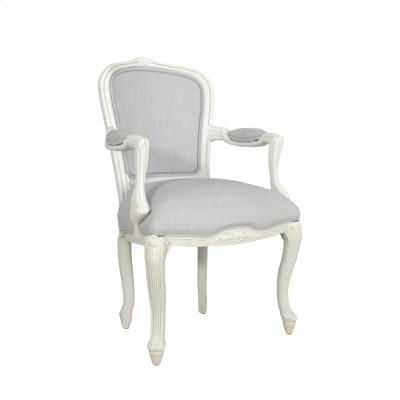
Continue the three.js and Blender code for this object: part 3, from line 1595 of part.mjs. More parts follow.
const railsCutter = both(sideRailBlank(CLEARANCE))
  .add(frontRailBlank(CLEARANCE))
  .add(backRailBlank(CLEARANCE))
  .add(both(backRailTenon(CLEARANCE)));
const legsCutter = both(legCutter.add(backLegCutter));
for (const [corner, place] of Object.entries(blockPlaces)) {
  const braced = cornerBlock(place)
    .subtract(railsCutter)
    .subtract(legsCutter)
    .subtract(blockScrew(place, CLEARANCE));
  addPair(`corner_block_${corner}`, mainBody(braced), "bare_wood");
  addPair(`corner_screw_${corner}`, shape(blockScrew(place)), "steel");
}
addPair("glide_front", shape(glide(frontFoot)), "nylon");
addPair("glide_back", shape(glide(backFoot)), "nylon");

const dustCover = deckSheet(RAIL_INSET + 2 * HESSIAN_THICKNESS, -DUST_COVER_DROP, HESSIAN_THICKNESS)
  .subtract(railsCutter)
  .subtract(legsCutter);
add("dust_cover", mainBody(dustCover), "lining");

// Build the seat's upholstery

const standing = both(backLegCutter.add(supportCutter));
add("seat_webbing", mainBody(seatWebbing().subtract(standing)), "jute");
const hessian = deckSheet(SEAT_SKIRT + CLEARANCE, WEB_THICKNESS + 2 * CLEARANCE, HESSIAN_THICKNESS);
add("seat_hessian", mainBody(hessian.subtract(standing)), "jute");
add("seat_foam", mainBody(seatFoam().subtract(standing)), "foam");
add("seat_cover", mainBody(seatCover().subtract(standing)), "linen");

const sideFirst = frontStations.length + 1;
const supportPlace = sideFirst + sideStations.findIndex((y) => y > SUPPORT_Y);
const lastPlace = sideFirst + sideStations.length - 2;
const frontRun = [...seatOutline.keys()].filter((i) => i <= supportPlace);
for (const i of frontRun.slice(frontStations.length)) {
  frontRun.unshift(seatOutline.length + frontStations.length - 1 - i);
}
const frontWelt = seatWelt(weltPoints(frontRun)).subtract(standing);
add("seat_welt_front", mainBody(frontWelt), "linen_welt");
const sideRun = steps(supportPlace - 1, lastPlace, lastPlace - supportPlace + 1);
const sideWelt = seatWelt(weltPoints(sideRun)).subtract(standing);
addPair("seat_welt_side", mainBody(sideWelt), "linen_welt");

// Build the back's upholstery

const backCover = solid(shell(backRings(), backRings(COVER_THICKNESS)));
add("back_cover", shape(backCover), "linen");
add("back_welt", shape(backWelt()), "linen_welt");
const backFoam = solid(
  loft([
    ...panelShares.map((share) => backRing(CLEARANCE, share, BACK_LINING_SEAT)),
    ...backRings(COVER_THICKNESS + CLEARANCE),
  ]),
);
add("back_foam", shape(backFoam), "foam");
const liningDepth = BACK_LINING_SEAT + CLEARANCE;
add("back_hessian", shape(backPanel(CLEARANCE, liningDepth, HESSIAN_THICKNESS)), "jute");
const outerDepth = liningDepth + HESSIAN_THICKNESS + CLEARANCE;
add("back_outer_cover", shape(backPanel(CLEARANCE, outerDepth, OUTER_PANEL_THICKNESS)), "linen");

// Build the arm pads

const padCover = solid(shell(padRings(), padRings(COVER_THICKNESS)));
addPair("arm_pad_cover", mainBody(padCover.subtract(armCutter)), "linen");
const padFoam = solid(loft([padRing(0.4, 0, padBase), ...padRings(COVER_THICKNESS + CLEARANCE)]));
addPair("arm_pad_foam", mainBody(padFoam.subtract(armCutter)), "foam");
const padCutter = solid(loft(padRings(-CLEARANCE)));
addPair("arm_pad_welt", mainBody(padWelt().subtract(armCutter).subtract(padCutter)), "linen_welt");

// Set the origin midway between the front and the back
const span = new THREE.Box3().setFromObject(chair);
chair.position.y = -(span.min.y + span.max.y) / 2;

export default chair;
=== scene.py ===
"""An open armchair in carved, painted wood and grey linen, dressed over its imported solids.

Lengths are millimetres with +Z up and the sitter facing -Y; meshes turn them into metres.
"""

import logging
import math
from dataclasses import dataclass
from enum import Enum
from typing import Callable, Sequence

import bpy
import numpy as np
from mathutils import Matrix, Vector


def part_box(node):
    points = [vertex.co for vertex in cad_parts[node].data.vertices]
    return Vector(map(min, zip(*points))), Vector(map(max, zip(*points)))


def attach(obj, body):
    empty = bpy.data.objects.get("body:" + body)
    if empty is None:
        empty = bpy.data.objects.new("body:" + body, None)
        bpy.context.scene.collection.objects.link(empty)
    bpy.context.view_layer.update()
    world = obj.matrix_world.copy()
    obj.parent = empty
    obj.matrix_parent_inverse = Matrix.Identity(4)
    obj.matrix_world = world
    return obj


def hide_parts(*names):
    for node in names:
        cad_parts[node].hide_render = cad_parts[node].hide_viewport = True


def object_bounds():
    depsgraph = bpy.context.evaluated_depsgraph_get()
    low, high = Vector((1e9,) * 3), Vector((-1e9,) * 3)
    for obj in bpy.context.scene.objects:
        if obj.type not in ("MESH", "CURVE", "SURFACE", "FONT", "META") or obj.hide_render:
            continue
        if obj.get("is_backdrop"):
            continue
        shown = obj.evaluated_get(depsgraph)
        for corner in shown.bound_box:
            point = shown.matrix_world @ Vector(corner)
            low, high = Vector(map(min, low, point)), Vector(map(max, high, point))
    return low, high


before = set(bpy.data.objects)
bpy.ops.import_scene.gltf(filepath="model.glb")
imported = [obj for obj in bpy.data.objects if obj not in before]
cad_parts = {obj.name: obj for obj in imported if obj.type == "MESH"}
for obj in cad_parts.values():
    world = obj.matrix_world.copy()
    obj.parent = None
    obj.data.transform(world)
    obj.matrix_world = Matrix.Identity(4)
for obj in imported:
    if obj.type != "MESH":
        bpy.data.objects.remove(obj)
CAD_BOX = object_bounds()

MM = 0.001
DIAGONAL = math.sqrt(0.5)
Array = np.ndarray
Values = float | Array
Table = Sequence[Sequence[float]]
Colour = tuple[float, float, float]
Onto = Callable[[Array, Array, Array], Array]
LOG = logging.getLogger("armchair")


class Side(Enum):
    """The sitter's side that a paired piece is on, with its sign along X."""

    RIGHT = 1
    LEFT = -1

    @property
    def word(self) -> str:
        """The side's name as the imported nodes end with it."""
        return self.name.lower()


class Slot(Enum):
    """Material slots of the record."""

    PAINT = "painted_wood"
    LINEN = "linen"
    WELT = "linen_welt"
    BARE = "bare_wood"
    JUTE = "jute"
    LINING = "lining"
    STEEL = "steel"
    NYLON = "nylon"


# Curves and numbers


def lerp(start: Values, end: Values, share: Values) -> Values:
    """Value a share of the way from start to end."""
    return start + (end - start) * share


def smooth(table: Table | Array, at: Values) -> Array:
    """Read a smooth curve through the rows of a table.

    Args:
        table: Rows of [position, value] with rising positions.
        at: Positions to read, held inside the table.

    Returns:
        The values, in the shape of the positions.
    """
    rows = np.asarray(table, float)
    x, y = rows[:, 0], rows[:, 1]
    slope = np.empty_like(y)
    slope[1:-1] = (y[2:] - y[:-2]) / (x[2:] - x[:-2])
    slope[0] = (y[1] - y[0]) / (x[1] - x[0])
    slope[-1] = (y[-1] - y[-2]) / (x[-1] - x[-2])
    place = np.clip(np.asarray(at, float), x[0], x[-1])
    i = np.clip(np.searchsorted(x, place, side="right") - 1, 0, len(x) - 2)
    gap = x[i + 1] - x[i]
    t = (place - x[i]) / gap
    low = (2 * t**3 - 3 * t**2 + 1) * y[i] + (t**3 - 2 * t**2 + t) * gap * slope[i]
    high = (-2 * t**3 + 3 * t**2) * y[i + 1] + (t**3 - t**2) * gap * slope[i + 1]
    return low + high


def ease(low: float, high: float, at: Values) -> Array:
    """Soft step from 0 at low to 1 at high."""
    t = np.clip((np.asarray(at, float) - low) / (high - low), 0, 1)
    return t * t * (3 - 2 * t)


def bump(distance: Values, half_width: float) -> Array:
    """Round hump over a distance: 1 in the middle, 0 from half_width on."""
    return np.sqrt(np.clip(1 - (np.asarray(distance, float) / half_width) ** 2, 0, 1))


def unit(vectors: Array) -> Array:
    """Vectors at length one."""
    return vectors / np.maximum(np.linalg.norm(vectors, axis=-1, keepdims=True), 1e-9)


def columns(table: Table | Array, at: Values) -> list[Array]:
    """Smooth readings of every further column of a table, by its first."""
    rows = np.asarray(table, float)
    return [smooth(rows[:, [0, k]], at) for k in range(1, rows.shape[1])]


def lengths_along(points: Array) -> Array:
    """How far along an open line each of its points is."""
    return np.r_[0, np.cumsum(np.linalg.norm(np.diff(points, axis=0), axis=1))]


def resample(points: Array, count: int, closed: bool = False) -> Array:
    """Spread points evenly along a smooth line through knots.

    Args:
        points: Knots, one a row.
        count: Number of points to return.
        closed: Whether the line returns to its first knot.

    Returns:
        The new points; a closed line doesn't repeat its first.
    """
    knots = np.asarray(points, float)
    if closed:
        knots = np.vstack([knots[-3:], knots, knots[:3]])
    lengths = lengths_along(knots)
    start, end = (lengths[3], lengths[-3]) if closed else (0, lengths[-1])
    line = np.stack(columns(np.c_[lengths, knots], np.linspace(start, end, 40 * len(knots))), 1)
    run = lengths_along(line)
    even = np.linspace(0, 1, count, endpoint=not closed) * run[-1]
    return np.stack([np.interp(even, run, side) for side in line.T], 1)


def evenly_round(line: Array, count: int) -> Array:
    """Even points round a closed line of short straight stretches."""
    closed = np.vstack([line, line[:1]])
    run = lengths_along(closed)
    at = np.linspace(0, run[-1], count, endpoint=False)
    return np.stack([np.interp(at, run, side) for side in closed.T], 1)


def outward_of(line: Array) -> Array:
    """Directions in the plane out of a closed line that runs anticlockwise."""
    tangent = unit(np.roll(line, -2, 0) - np.roll(line, 2, 0))
    return np.stack([tangent[:, 1], -tangent[:, 0]], 1)


def area_within(line: Array) -> float:
    """Area that a closed plane line encloses."""
    x, y = line.T
    return 0.5 * abs(float(np.sum(x * np.roll(y, -1) - y * np.roll(x, -1))))


def circle(count: int) -> Array:
    """Angles spaced evenly round a circle."""
    return np.linspace(0, 2 * math.pi, count, endpoint=False)


def signed_power(base: Array, power: float) -> Array:
    """Powers that keep the sign of their base."""
    return np.sign(base) * np.abs(base) ** power


def rounded(ring: Array, times: int) -> Array:
    """A closed ring with its corners worn round, a little more each time."""
    for _ in range(times):
        ring = 0.25 * np.roll(ring, 1, 0) + 0.5 * ring + 0.25 * np.roll(ring, -1, 0)
    return ring


def drawn_in(offsets: Array, share: Values) -> Array:
    """An outline shrunk towards its middle, turning from its own shape into an oval.

    Args:
        offsets: The outline's points, measured from the middle.
        share: Size of each ring, 1 for the outline itself.

    Returns:
        The rings' points, measured from the middle.
    """
    half = np.abs(offsets).max(0)
    angle = np.arctan2(offsets[:, 1] / half[1], offsets[:, 0] / half[0])
    oval = np.stack([np.cos(angle), np.sin(angle)], 1) * half * 0.94
    share = np.asarray(share, float)[..., None, None]
    return share * lerp(offsets, oval, ease(1.0, 0.6, share))


def distance_to(line: Array, points: Array) -> Array:
    """Distance in a plane from points to the nearest stretch of an open line."""
    start, run = line[:-1], np.diff(line, axis=0)
    flat = points.reshape(-1, 2)
    best = np.full(len(flat), 1e9)
    for a, d in zip(start, run):
        t = np.clip(((flat - a) @ d) / (d @ d), 0, 1)
        best = np.minimum(best, np.hypot(*(flat - a - t[:, None] * d).T))
    return best.reshape(points.shape[:-1])


# Surfaces


@dataclass
class Skin:
    """A closed surface made of rings of points, with caps or joined end to end."""

    rings: Array
    loop: bool = False
    cloth: Array | None = None

    def normals(self) -> Array:
        """Outward directions at the points of the rings."""
        along = np.roll(self.rings, -1, 0) - np.roll(self.rings, 1, 0)
        if not self.loop:
            along[0] = self.rings[1] - self.rings[0]
            along[-1] = self.rings[-1] - self.rings[-2]
        round_ = np.roll(self.rings, -1, 1) - np.roll(self.rings, 1, 1)
        outward = unit(np.cross(round_, along))
        middle = self.rings.mean(1, keepdims=True)
        return outward * np.sign(np.sum(outward * (self.rings - middle)))

    def raised(self, height: Array) -> "Skin":
        """The surface pushed out by a height at each point."""
        return Skin(self.rings + self.normals() * height[..., None], self.loop, self.cloth)

    def mirrored(self) -> "Skin":
        """The same surface on the other side of the chair."""
        return Skin(self.rings * np.array([-1, 1, 1]), self.loop, self.cloth)

    def mesh(self) -> tuple[Array, list[tuple[int, ...]]]:
        """Points and outward faces of the surface."""
        n, m, _ = self.rings.shape
        points = self.rings.reshape(-1, 3)
        last = n if self.loop else n - 1
        i, j = np.meshgrid(np.arange(last), np.arange(m), indexing="ij")
        a, b = i * m + j, i * m + (j + 1) % m
        c, d = ((i + 1) % n) * m + (j + 1) % m, ((i + 1) % n) * m + j
        faces = [tuple(q) for q in np.stack([a, b, c, d], -1).reshape(-1, 4).tolist()]
        if not self.loop:
            hubs = np.stack([self.rings[0].mean(0), self.rings[-1].mean(0)])
            points = np.vstack([points, hubs])
            top = (n - 1) * m
            faces += [(n * m, (k + 1) % m, k) for k in range(m)]
            faces += [(n * m + 1, top + k, top + (k + 1) % m) for k in range(m)]
        p, q, r, s = (points[[face[k] for face in faces]] for k in (0, 1, 2, -1))
        volume = np.sum(p * np.cross(q, r)) + np.sum(p * np.cross(r, s))
        if volume < 0:
            faces = [f[::-1] for f in faces]
        return points, faces


def tube(path: Array, radius: Values, around: int = 10, loop: bool = False) -> Skin:
    """A round cord along a path.

    Args:
        path: Points of the middle line.
        radius: The cord's radius, one or one for each point.
        around: Points in each ring.
        loop: Whether the path is closed.

    Returns:
        The cord, with cloth coordinates along and round it.
    """
    run = np.roll(path, -1, 0) - np.roll(path, 1, 0)
    if not loop:
        run[0], run[-1] = path[1] - path[0], path[-1] - path[-2]
    run = unit(run)
    side = np.zeros_like(path)
    first = np.cross(run[0], [0, 0, 1.0])
    side[0] = first if np.linalg.norm(first) > 0.2 else np.cross(run[0], [0, 1.0, 0])
    for k in range(1, len(path)):
        side[k] = side[k - 1] - run[k] * (side[k - 1] @ run[k])
        side[k] /= np.linalg.norm(side[k])
    side = unit(side)
    up = np.cross(run, side)
    angle = circle(around)
    size = np.broadcast_to(np.asarray(radius, float), (len(path),))[:, None, None]
    rim = side[:, None] * np.cos(angle)[None, :, None] + up[:, None] * np.sin(angle)[None, :, None]
    far = lengths_along(path)
    turn = np.broadcast_to(angle[None], (len(path), around))
    cloth = np.stack([np.broadcast_to(far[:, None], turn.shape), turn], -1)
    return Skin(path[:, None] + rim * size, loop, cloth)


def oval_ring(centre: Array, axis_a: Array, axis_b: Array, half_a: Array, half_b: Array,
              power: float, count: int) -> Array:
    """Rings of rounded rectangles.

    Args:
        centre: Middle of each ring.
        axis_a: First axis, one or one for each ring.
        axis_b: Second axis, one or one for each ring.
        half_a: Half the size along the first axis for each ring.
        half_b: Half the size along the second axis for each ring.
        power: Squareness, 2 for an ellipse.
        count: Points in each ring.

    Returns:
        The rings' points.
    """
    angle = circle(count)
    a, b = (signed_power(way(angle), 2 / power) for way in (np.cos, np.sin))
    return (
        centre[:, None]
        + np.asarray(axis_a)[..., None, :] * (half_a[:, None] * a)[..., None]
        + np.asarray(axis_b)[..., None, :] * (half_b[:, None] * b)[..., None]
    )


# Shader maths


@dataclass
class Wire:
    """One shader value as an output socket, for sums written as plain expressions."""

    shader: "Shader"
    socket: bpy.types.NodeSocket

    def _math(self, operation: str, other: "Wire | float", swap: bool = False) -> "Wire":
        """A Math node on this value and another."""
        pair = (other, self) if swap else (self, other)
        return self.shader.node("ShaderNodeMath", {"operation": operation}, {0: pair[0], 1: pair[1]})

    def __add__(self, other: "Wire | float") -> "Wire":
        """Sum."""
        return self._math("ADD", other)

    def __sub__(self, other: "Wire | float") -> "Wire":
        """Difference."""
        return self._math("SUBTRACT", other)

    def __rsub__(self, other: float) -> "Wire":
        """Difference from a number."""
        return self._math("SUBTRACT", other, swap=True)

    def __mul__(self, other: "Wire | float") -> "Wire":
        """Product."""
        return self._math("MULTIPLY", other)

    __radd__ = __add__
    __rmul__ = __mul__

    def sine(self) -> "Wire":
        """Sine of the value."""
        return self._math("SINE", 0.0)

    def most(self, other: "Wire | float") -> "Wire":
        """Larger of two values."""
        return self._math("MAXIMUM", other)

    def step(self, low: float, high: float) -> "Wire":
        """Soft step of the value from 0 at low to 1 at high."""
        return self.shader.node(
            "ShaderNodeMapRange",
            {"interpolation_type": "SMOOTHSTEP"},
            {"Value": self, "From Min": low, "From Max": high},
        )


class Shader:
    """A node tree under construction, of a material or of the world."""

    def __init__(self, name: str, owner: bpy.types.World | None = None) -> None:
        """Start an empty material, or take over the owner that is given."""
        self.owner = owner or bpy.data.materials.new(name)
        self.owner.use_nodes = True
        self.tree = self.owner.node_tree

    def node(self, kind: str, settings: dict | None = None, values: dict | None = None,
             output: int | str = 0) -> Wire:
        """Add any node.

        Args:
            kind: The node's type.
            settings: Attributes to set first.
            values: Socket values or wires by name or number.
            output: The output to hand on.

        Returns:
            The chosen output.
        """
        made = self.tree.nodes.new(kind)
        for key, value in (settings or {}).items():
            setattr(made, key, value)
        for key, value in (values or {}).items():
            self.plug(made.inputs[key], value)
        return Wire(self, made.outputs[output])

    def plug(self, socket: bpy.types.NodeSocket, value: "Wire | float | Sequence[float]") -> None:
        """Link a wire to a socket, or set the socket's own value."""
        if isinstance(value, Wire):
            self.tree.links.new(value.socket, socket)
        elif isinstance(value, Sequence) and len(value) < len(socket.default_value):
            socket.default_value = (*value, 1)
        else:
            socket.default_value = value

    def surface(self, **values: "Wire | float | Sequence[float]") -> bpy.types.Material:
        """Set the Principled shader's sockets, underscores for spaces, and return the material."""
        body = self.tree.nodes["Principled BSDF"]
        for key, value in values.items():
            self.plug(body.inputs[key.replace("_", " ")], value)
        return self.owner

    def place(self) -> Wire:
        """Position in metres in the chair's own frame."""
        return self.node("ShaderNodeTexCoord", output="Object")

    def stretched(self, where: Wire, scale: Sequence[float], turn: Sequence[float] = (0, 0, 0)) -> Wire:
        """A position scaled and turned."""
        return self.node("ShaderNodeMapping", values={"Vector": where, "Scale": scale, "Rotation": turn})

    def noise(self, where: Wire, scale: float, detail: float = 3.0, rough: float = 0.55) -> Wire:
        """Smooth noise from 0 to 1."""
        values = {"Vector": where, "Scale": scale, "Detail": detail, "Roughness": rough}
        return self.node("ShaderNodeTexNoise", values=values)

    def attribute(self, name: str, output: str = "Fac") -> Wire:
        """A value kept on the mesh."""
        return self.node("ShaderNodeAttribute", {"attribute_name": name}, output=output)

    def mix(self, share: Wire | float, first: Wire | Colour, second: Wire | Colour) -> Wire:
        """Mix two colours."""
        return self.node("ShaderNodeMix", {"data_type": "RGBA"}, {0: share, 6: first, 7: second}, 2)

    def split(self, vector: Wire, axis: int) -> Wire:
        """One coordinate of a vector."""
        return self.node("ShaderNodeSeparateXYZ", values={0: vector}, output=axis)

    def relief(self, height: Wire, depth: float, strength: float) -> Wire:
        """A bumped normal from a height of a depth in metres."""
        return self.node("ShaderNodeBump", values={"Height": height, "Distance": depth, "Strength": strength})


def darker(tone: Colour, share: float) -> Colour:
    """A colour times a number."""
    return tuple(share * part for part in tone)


@dataclass(frozen=True)
class PaintFinish:
    """Old cream paint: olive glaze in the hollows, rubbed edges, fine brush marks, and painted shade that
    darkens and warms its lower parts.
    """

    name: str = "antique_paint"
    slot: Slot = Slot.PAINT
    cream: Colour = (0.81, 0.81, 0.775)
    cool: Colour = (0.775, 0.785, 0.755)
    # painted shade: the darker, warmer tone that the lower parts are mixed towards
    lower_shade: Colour = (0.66, 0.645, 0.565)
    glaze: Colour = (0.38, 0.35, 0.25)
    rubbed: Colour = (0.86, 0.86, 0.83)
    foot_tone: Colour = (0.68, 0.63, 0.52)

    def build(self) -> bpy.types.Material:
        """Make the material."""
        s = Shader(self.name)
        where = s.place()
        hollow = s.attribute("hollow")
        cloud = s.noise(where, 5.5, 3.0)
        patch = s.noise(where, 38.0, 5.0, 0.65)
        fine = s.noise(where, 420.0, 2.0)
        base = s.mix(cloud.step(0.3, 0.7), self.cream, self.cool)
        # painted shade: below 0.62 m the paint turns darker and warmer, fully so under 0.36 m, for light that
        # falls off lower down
        base = s.mix((s.split(where, 2) + cloud * 0.1).step(0.62, 0.36) * 0.9, base, self.lower_shade)
        low = (s.split(where, 2) + patch * 0.006).step(0.056, 0.05)
        base = s.mix(low * 0.6, base, self.foot_tone)
        worn = (0.0 - hollow + patch * 0.55).step(0.42, 0.95)
        base = s.mix(worn * 0.7, base, self.rubbed)
        deep = (hollow + (patch - 0.5) * 0.3).step(0.06, 0.6)
        base = s.mix(deep * 0.6, base, self.glaze)
        speck = s.noise(where, 900.0, 1.0).step(0.74, 0.8) * s.noise(where, 24.0).step(0.5, 0.68)
        base = s.mix(speck * 0.35, base, self.glaze)
        brush = s.noise(s.stretched(where, (1, 1, 0.16)), 620.0, 2.0)
        cracks = s.node(
            "ShaderNodeTexVoronoi", {"feature": "DISTANCE_TO_EDGE"},
            {"Vector": where, "Scale": 140.0}, "Distance",
        ).step(0.0, 0.035)
        crackle = 1.0 - (1.0 - cracks) * s.noise(where, 16.0).step(0.56, 0.7)
        base = s.mix((1.0 - crackle) * 0.22, base, self.glaze)
        height = brush * 0.5 + crackle * 0.35 + fine * 0.15
        return s.surface(
            Base_Color=base, Roughness=0.5 + patch * 0.16 + deep * 0.12,
            Normal=s.relief(height, 0.00022, 0.55), Specular_IOR_Level=0.38,
        )


@dataclass(frozen=True)
class LinenFinish:
    """Pale grey plain-weave linen with thick and thin upright threads."""

    name: str = "grey_linen"
    slot: Slot = Slot.LINEN
    light: Colour = (0.71, 0.716, 0.73)
    dark: Colour = (0.535, 0.543, 0.557)
    thread: float = 0.85
    slub: float = 0.75

    def build(self) -> bpy.types.Material:
        """Make the material."""
        s = Shader(self.name)
        cloth = s.attribute("cloth", "Vector")
        across, down = s.split(cloth, 0), s.split(cloth, 1)
        pitch = 2 * math.pi / self.thread
        sway = s.noise(s.stretched(cloth, (0.25, 0.25, 1)), 1.0, 2.0)
        warp = (across * pitch + sway * 1.6).sine()
        weft = (down * pitch + sway * 1.3).sine()
        over = (warp * weft).step(-0.35, 0.35)
        weave = over * (warp * warp) + (1.0 - over) * (weft * weft)
        upright = s.noise(s.stretched(cloth, (0.62, 0.02, 1)), 1.0, 2.0, 0.6)
        broad = s.noise(s.stretched(cloth, (0.16, 0.012, 1)), 1.0, 2.0)
        level = s.noise(s.stretched(cloth, (0.02, 0.7, 1)), 1.0, 2.0, 0.6)
        cloud = s.noise(cloth, 0.012, 2.0)
        tone = upright * 0.5 + level * 0.22 + broad * 0.2 + cloud * 0.12
        colour = s.mix(tone.step(0.38, 0.78), self.dark, self.light)
        colour = s.mix((1.0 - weave) * 0.34, colour, darker(self.dark, 0.62))
        shade = s.attribute("hollow").step(0.1, 0.8)
        colour = s.mix(shade * 0.16, colour, (0.30, 0.29, 0.27))
        bulk = weave * 0.6 + upright.step(0.5, 0.72) * self.slub + level.step(0.55, 0.75) * 0.15
        return s.surface(
            Base_Color=colour, Roughness=0.86, Normal=s.relief(bulk, 0.00034, 0.8),
            Specular_IOR_Level=0.2, Sheen_Weight=0.22, Sheen_Roughness=0.5,
        )


@dataclass(frozen=True)
class WeltFinish:
    """Linen rolled over cord: slanting threads along each row."""

    name: str = "linen_cord"
    slot: Slot = Slot.WELT
    light: Colour = (0.7, 0.703, 0.705)
    dark: Colour = (0.52, 0.52, 0.515)

    def build(self) -> bpy.types.Material:
        """Make the material."""
        s = Shader(self.name)
        cloth = s.attribute("cloth", "Vector")
        along, turn = s.split(cloth, 0), s.split(cloth, 1)
        lay = (along * 3.6 + turn * 3.0).sine()
        cross = (along * 2.1 - turn * 5.0).sine()
        fuzz = s.noise(s.place(), 900.0, 2.0)
        tone = lay * 0.24 + cross * 0.1 + fuzz * 0.5 + s.noise(s.place(), 60.0) * 0.4
        colour = s.mix(tone.step(0.05, 0.85), self.dark, self.light)
        # painted shade: darker in the hollows between and under the cords
        colour = s.mix(s.attribute("hollow").step(0.05, 0.6) * 0.16, colour, (0.27, 0.26, 0.22))
        return s.surface(
            Base_Color=colour, Roughness=0.84, Specular_IOR_Level=0.2, Sheen_Weight=0.2,
            Normal=s.relief(lay * 0.5 + cross * 0.25 + fuzz * 0.4, 0.0003, 0.8),
        )


@dataclass(frozen=True)
class BareWoodFinish:
    """Sawn beech: fine grain, ray flecks and saw marks."""

    name: str = "sawn_beech"
    slot: Slot = Slot.BARE
    light: Colour = (0.56, 0.40, 0.24)
    dark: Colour = (0.36, 0.22, 0.11)

    def build(self) -> bpy.types.Material:
        """Make the material."""
        s = Shader(self.name)
        where = s.place()
        grain = s.noise(s.stretched(where, (14, 260, 260), (0, 0, 0.6)), 1.0, 4.0)
        fleck = s.noise(s.stretched(where, (90, 900, 900), (0, 0, 0.6)), 1.0, 2.0).step(0.62, 0.72)
        saw = (s.split(where, 0) * 1900.0 + s.noise(where, 30.0) * 4.0).sine()
        colour = s.mix(grain.step(0.3, 0.72), self.light, self.dark)
        colour = s.mix(fleck * 0.5, colour, self.dark)
        return s.surface(
            Base_Color=colour, Roughness=0.66 + grain * 0.14,
            Normal=s.relief(grain * 0.6 + saw * 0.15, 0.0003, 0.6),
        )


@dataclass(frozen=True)
class WovenFinish:
    """Coarse woven cloth: jute webbing and hessian, or the black lining."""

    name: str
    slot: Slot
    light: Colour
    dark: Colour
    thread: float
    rough: float = 0.9

    def build(self) -> bpy.types.Material:
        """Make the material."""
        s = Shader(self.name)
        where = s.place()
        pitch = 2 * math.pi / (self.thread * MM)
        sway = s.noise(where, 60.0, 2.0) * 2.2
        warp = (s.split(where, 0) * pitch + sway).sine()
        weft = (s.split(where, 1) * pitch + s.split(where, 2) * pitch + sway).sine()
        weave = (warp * weft + s.noise(where, 700.0) * 0.6 - 0.3).step(-0.6, 0.8)
        colour = s.mix(weave, self.dark, self.light)
        colour = s.mix(s.noise(where, 45.0).step(0.4, 0.75) * 0.35, colour, self.dark)
        return s.surface(
            Base_Color=colour, Roughness=self.rough,
            Normal=s.relief(weave, self.thread * MM * 0.3, 0.8), Specular_IOR_Level=0.15,
        )


@dataclass(frozen=True)
class SteelFinish:
    """Zinc-plated steel, turned."""

    name: str = "zinc_steel"
    slot: Slot = Slot.STEEL
    tone: Colour = (0.56, 0.57, 0.58)

    def build(self) -> bpy.types.Material:
        """Make the material."""
        s = Shader(self.name)
        where = s.place()
        spangle = s.noise(where, 260.0, 3.0)
        colour = s.mix(spangle.step(0.35, 0.7), self.tone, darker(self.tone, 0.72))
        turned = s.noise(s.stretched(where, (1, 1, 40)), 120.0, 2.0)
        return s.surface(
            Base_Color=colour, Metallic=1.0, Roughness=0.3 + spangle * 0.2,
            Normal=s.relief(turned, 0.0001, 0.4),
        )


@dataclass(frozen=True)
class NylonFinish:
    """Dark moulded nylon, scuffed underneath."""

    name: str = "dark_nylon"
    slot: Slot = Slot.NYLON
    tone: Colour = (0.075, 0.06, 0.045)

    def build(self) -> bpy.types.Material:
        """Make the material."""
        s = Shader(self.name)
        grainy = s.noise(s.place(), 1500.0, 2.0)
        scuff = s.noise(s.place(), 160.0, 4.0).step(0.55, 0.75)
        colour = s.mix(scuff * 0.5, self.tone, darker(self.tone, 2.4))
        return s.surface(
            Base_Color=colour, Roughness=0.45 + scuff * 0.3, Normal=s.relief(grainy, 0.0001, 0.5),
        )


FINISHES = (
    PaintFinish(),
    LinenFinish(),
    WeltFinish(),
    BareWoodFinish(),
    WovenFinish("jute_weave", Slot.JUTE, (0.42, 0.31, 0.17), (0.20, 0.135, 0.06), 2.2),
    WovenFinish("black_lining", Slot.LINING, (0.035, 0.035, 0.038), (0.012, 0.012, 0.014), 0.9),
    SteelFinish(),
    NylonFinish(),
)


# Bench


def placed(name: str, data: bpy.types.ID) -> bpy.types.Object:
    """A new object in the scene."""
    made = bpy.data.objects.new(name, data)
    bpy.context.scene.collection.objects.link(made)
    return made


def read(items: bpy.types.bpy_prop_collection, key: str, width: int, kind: type = float) -> Array:
    """A mesh's numbers of one kind, a row for each of its items."""
    got = np.empty(len(items) * width, kind)
    items.foreach_get(key, got)
    return got.reshape(-1, width)


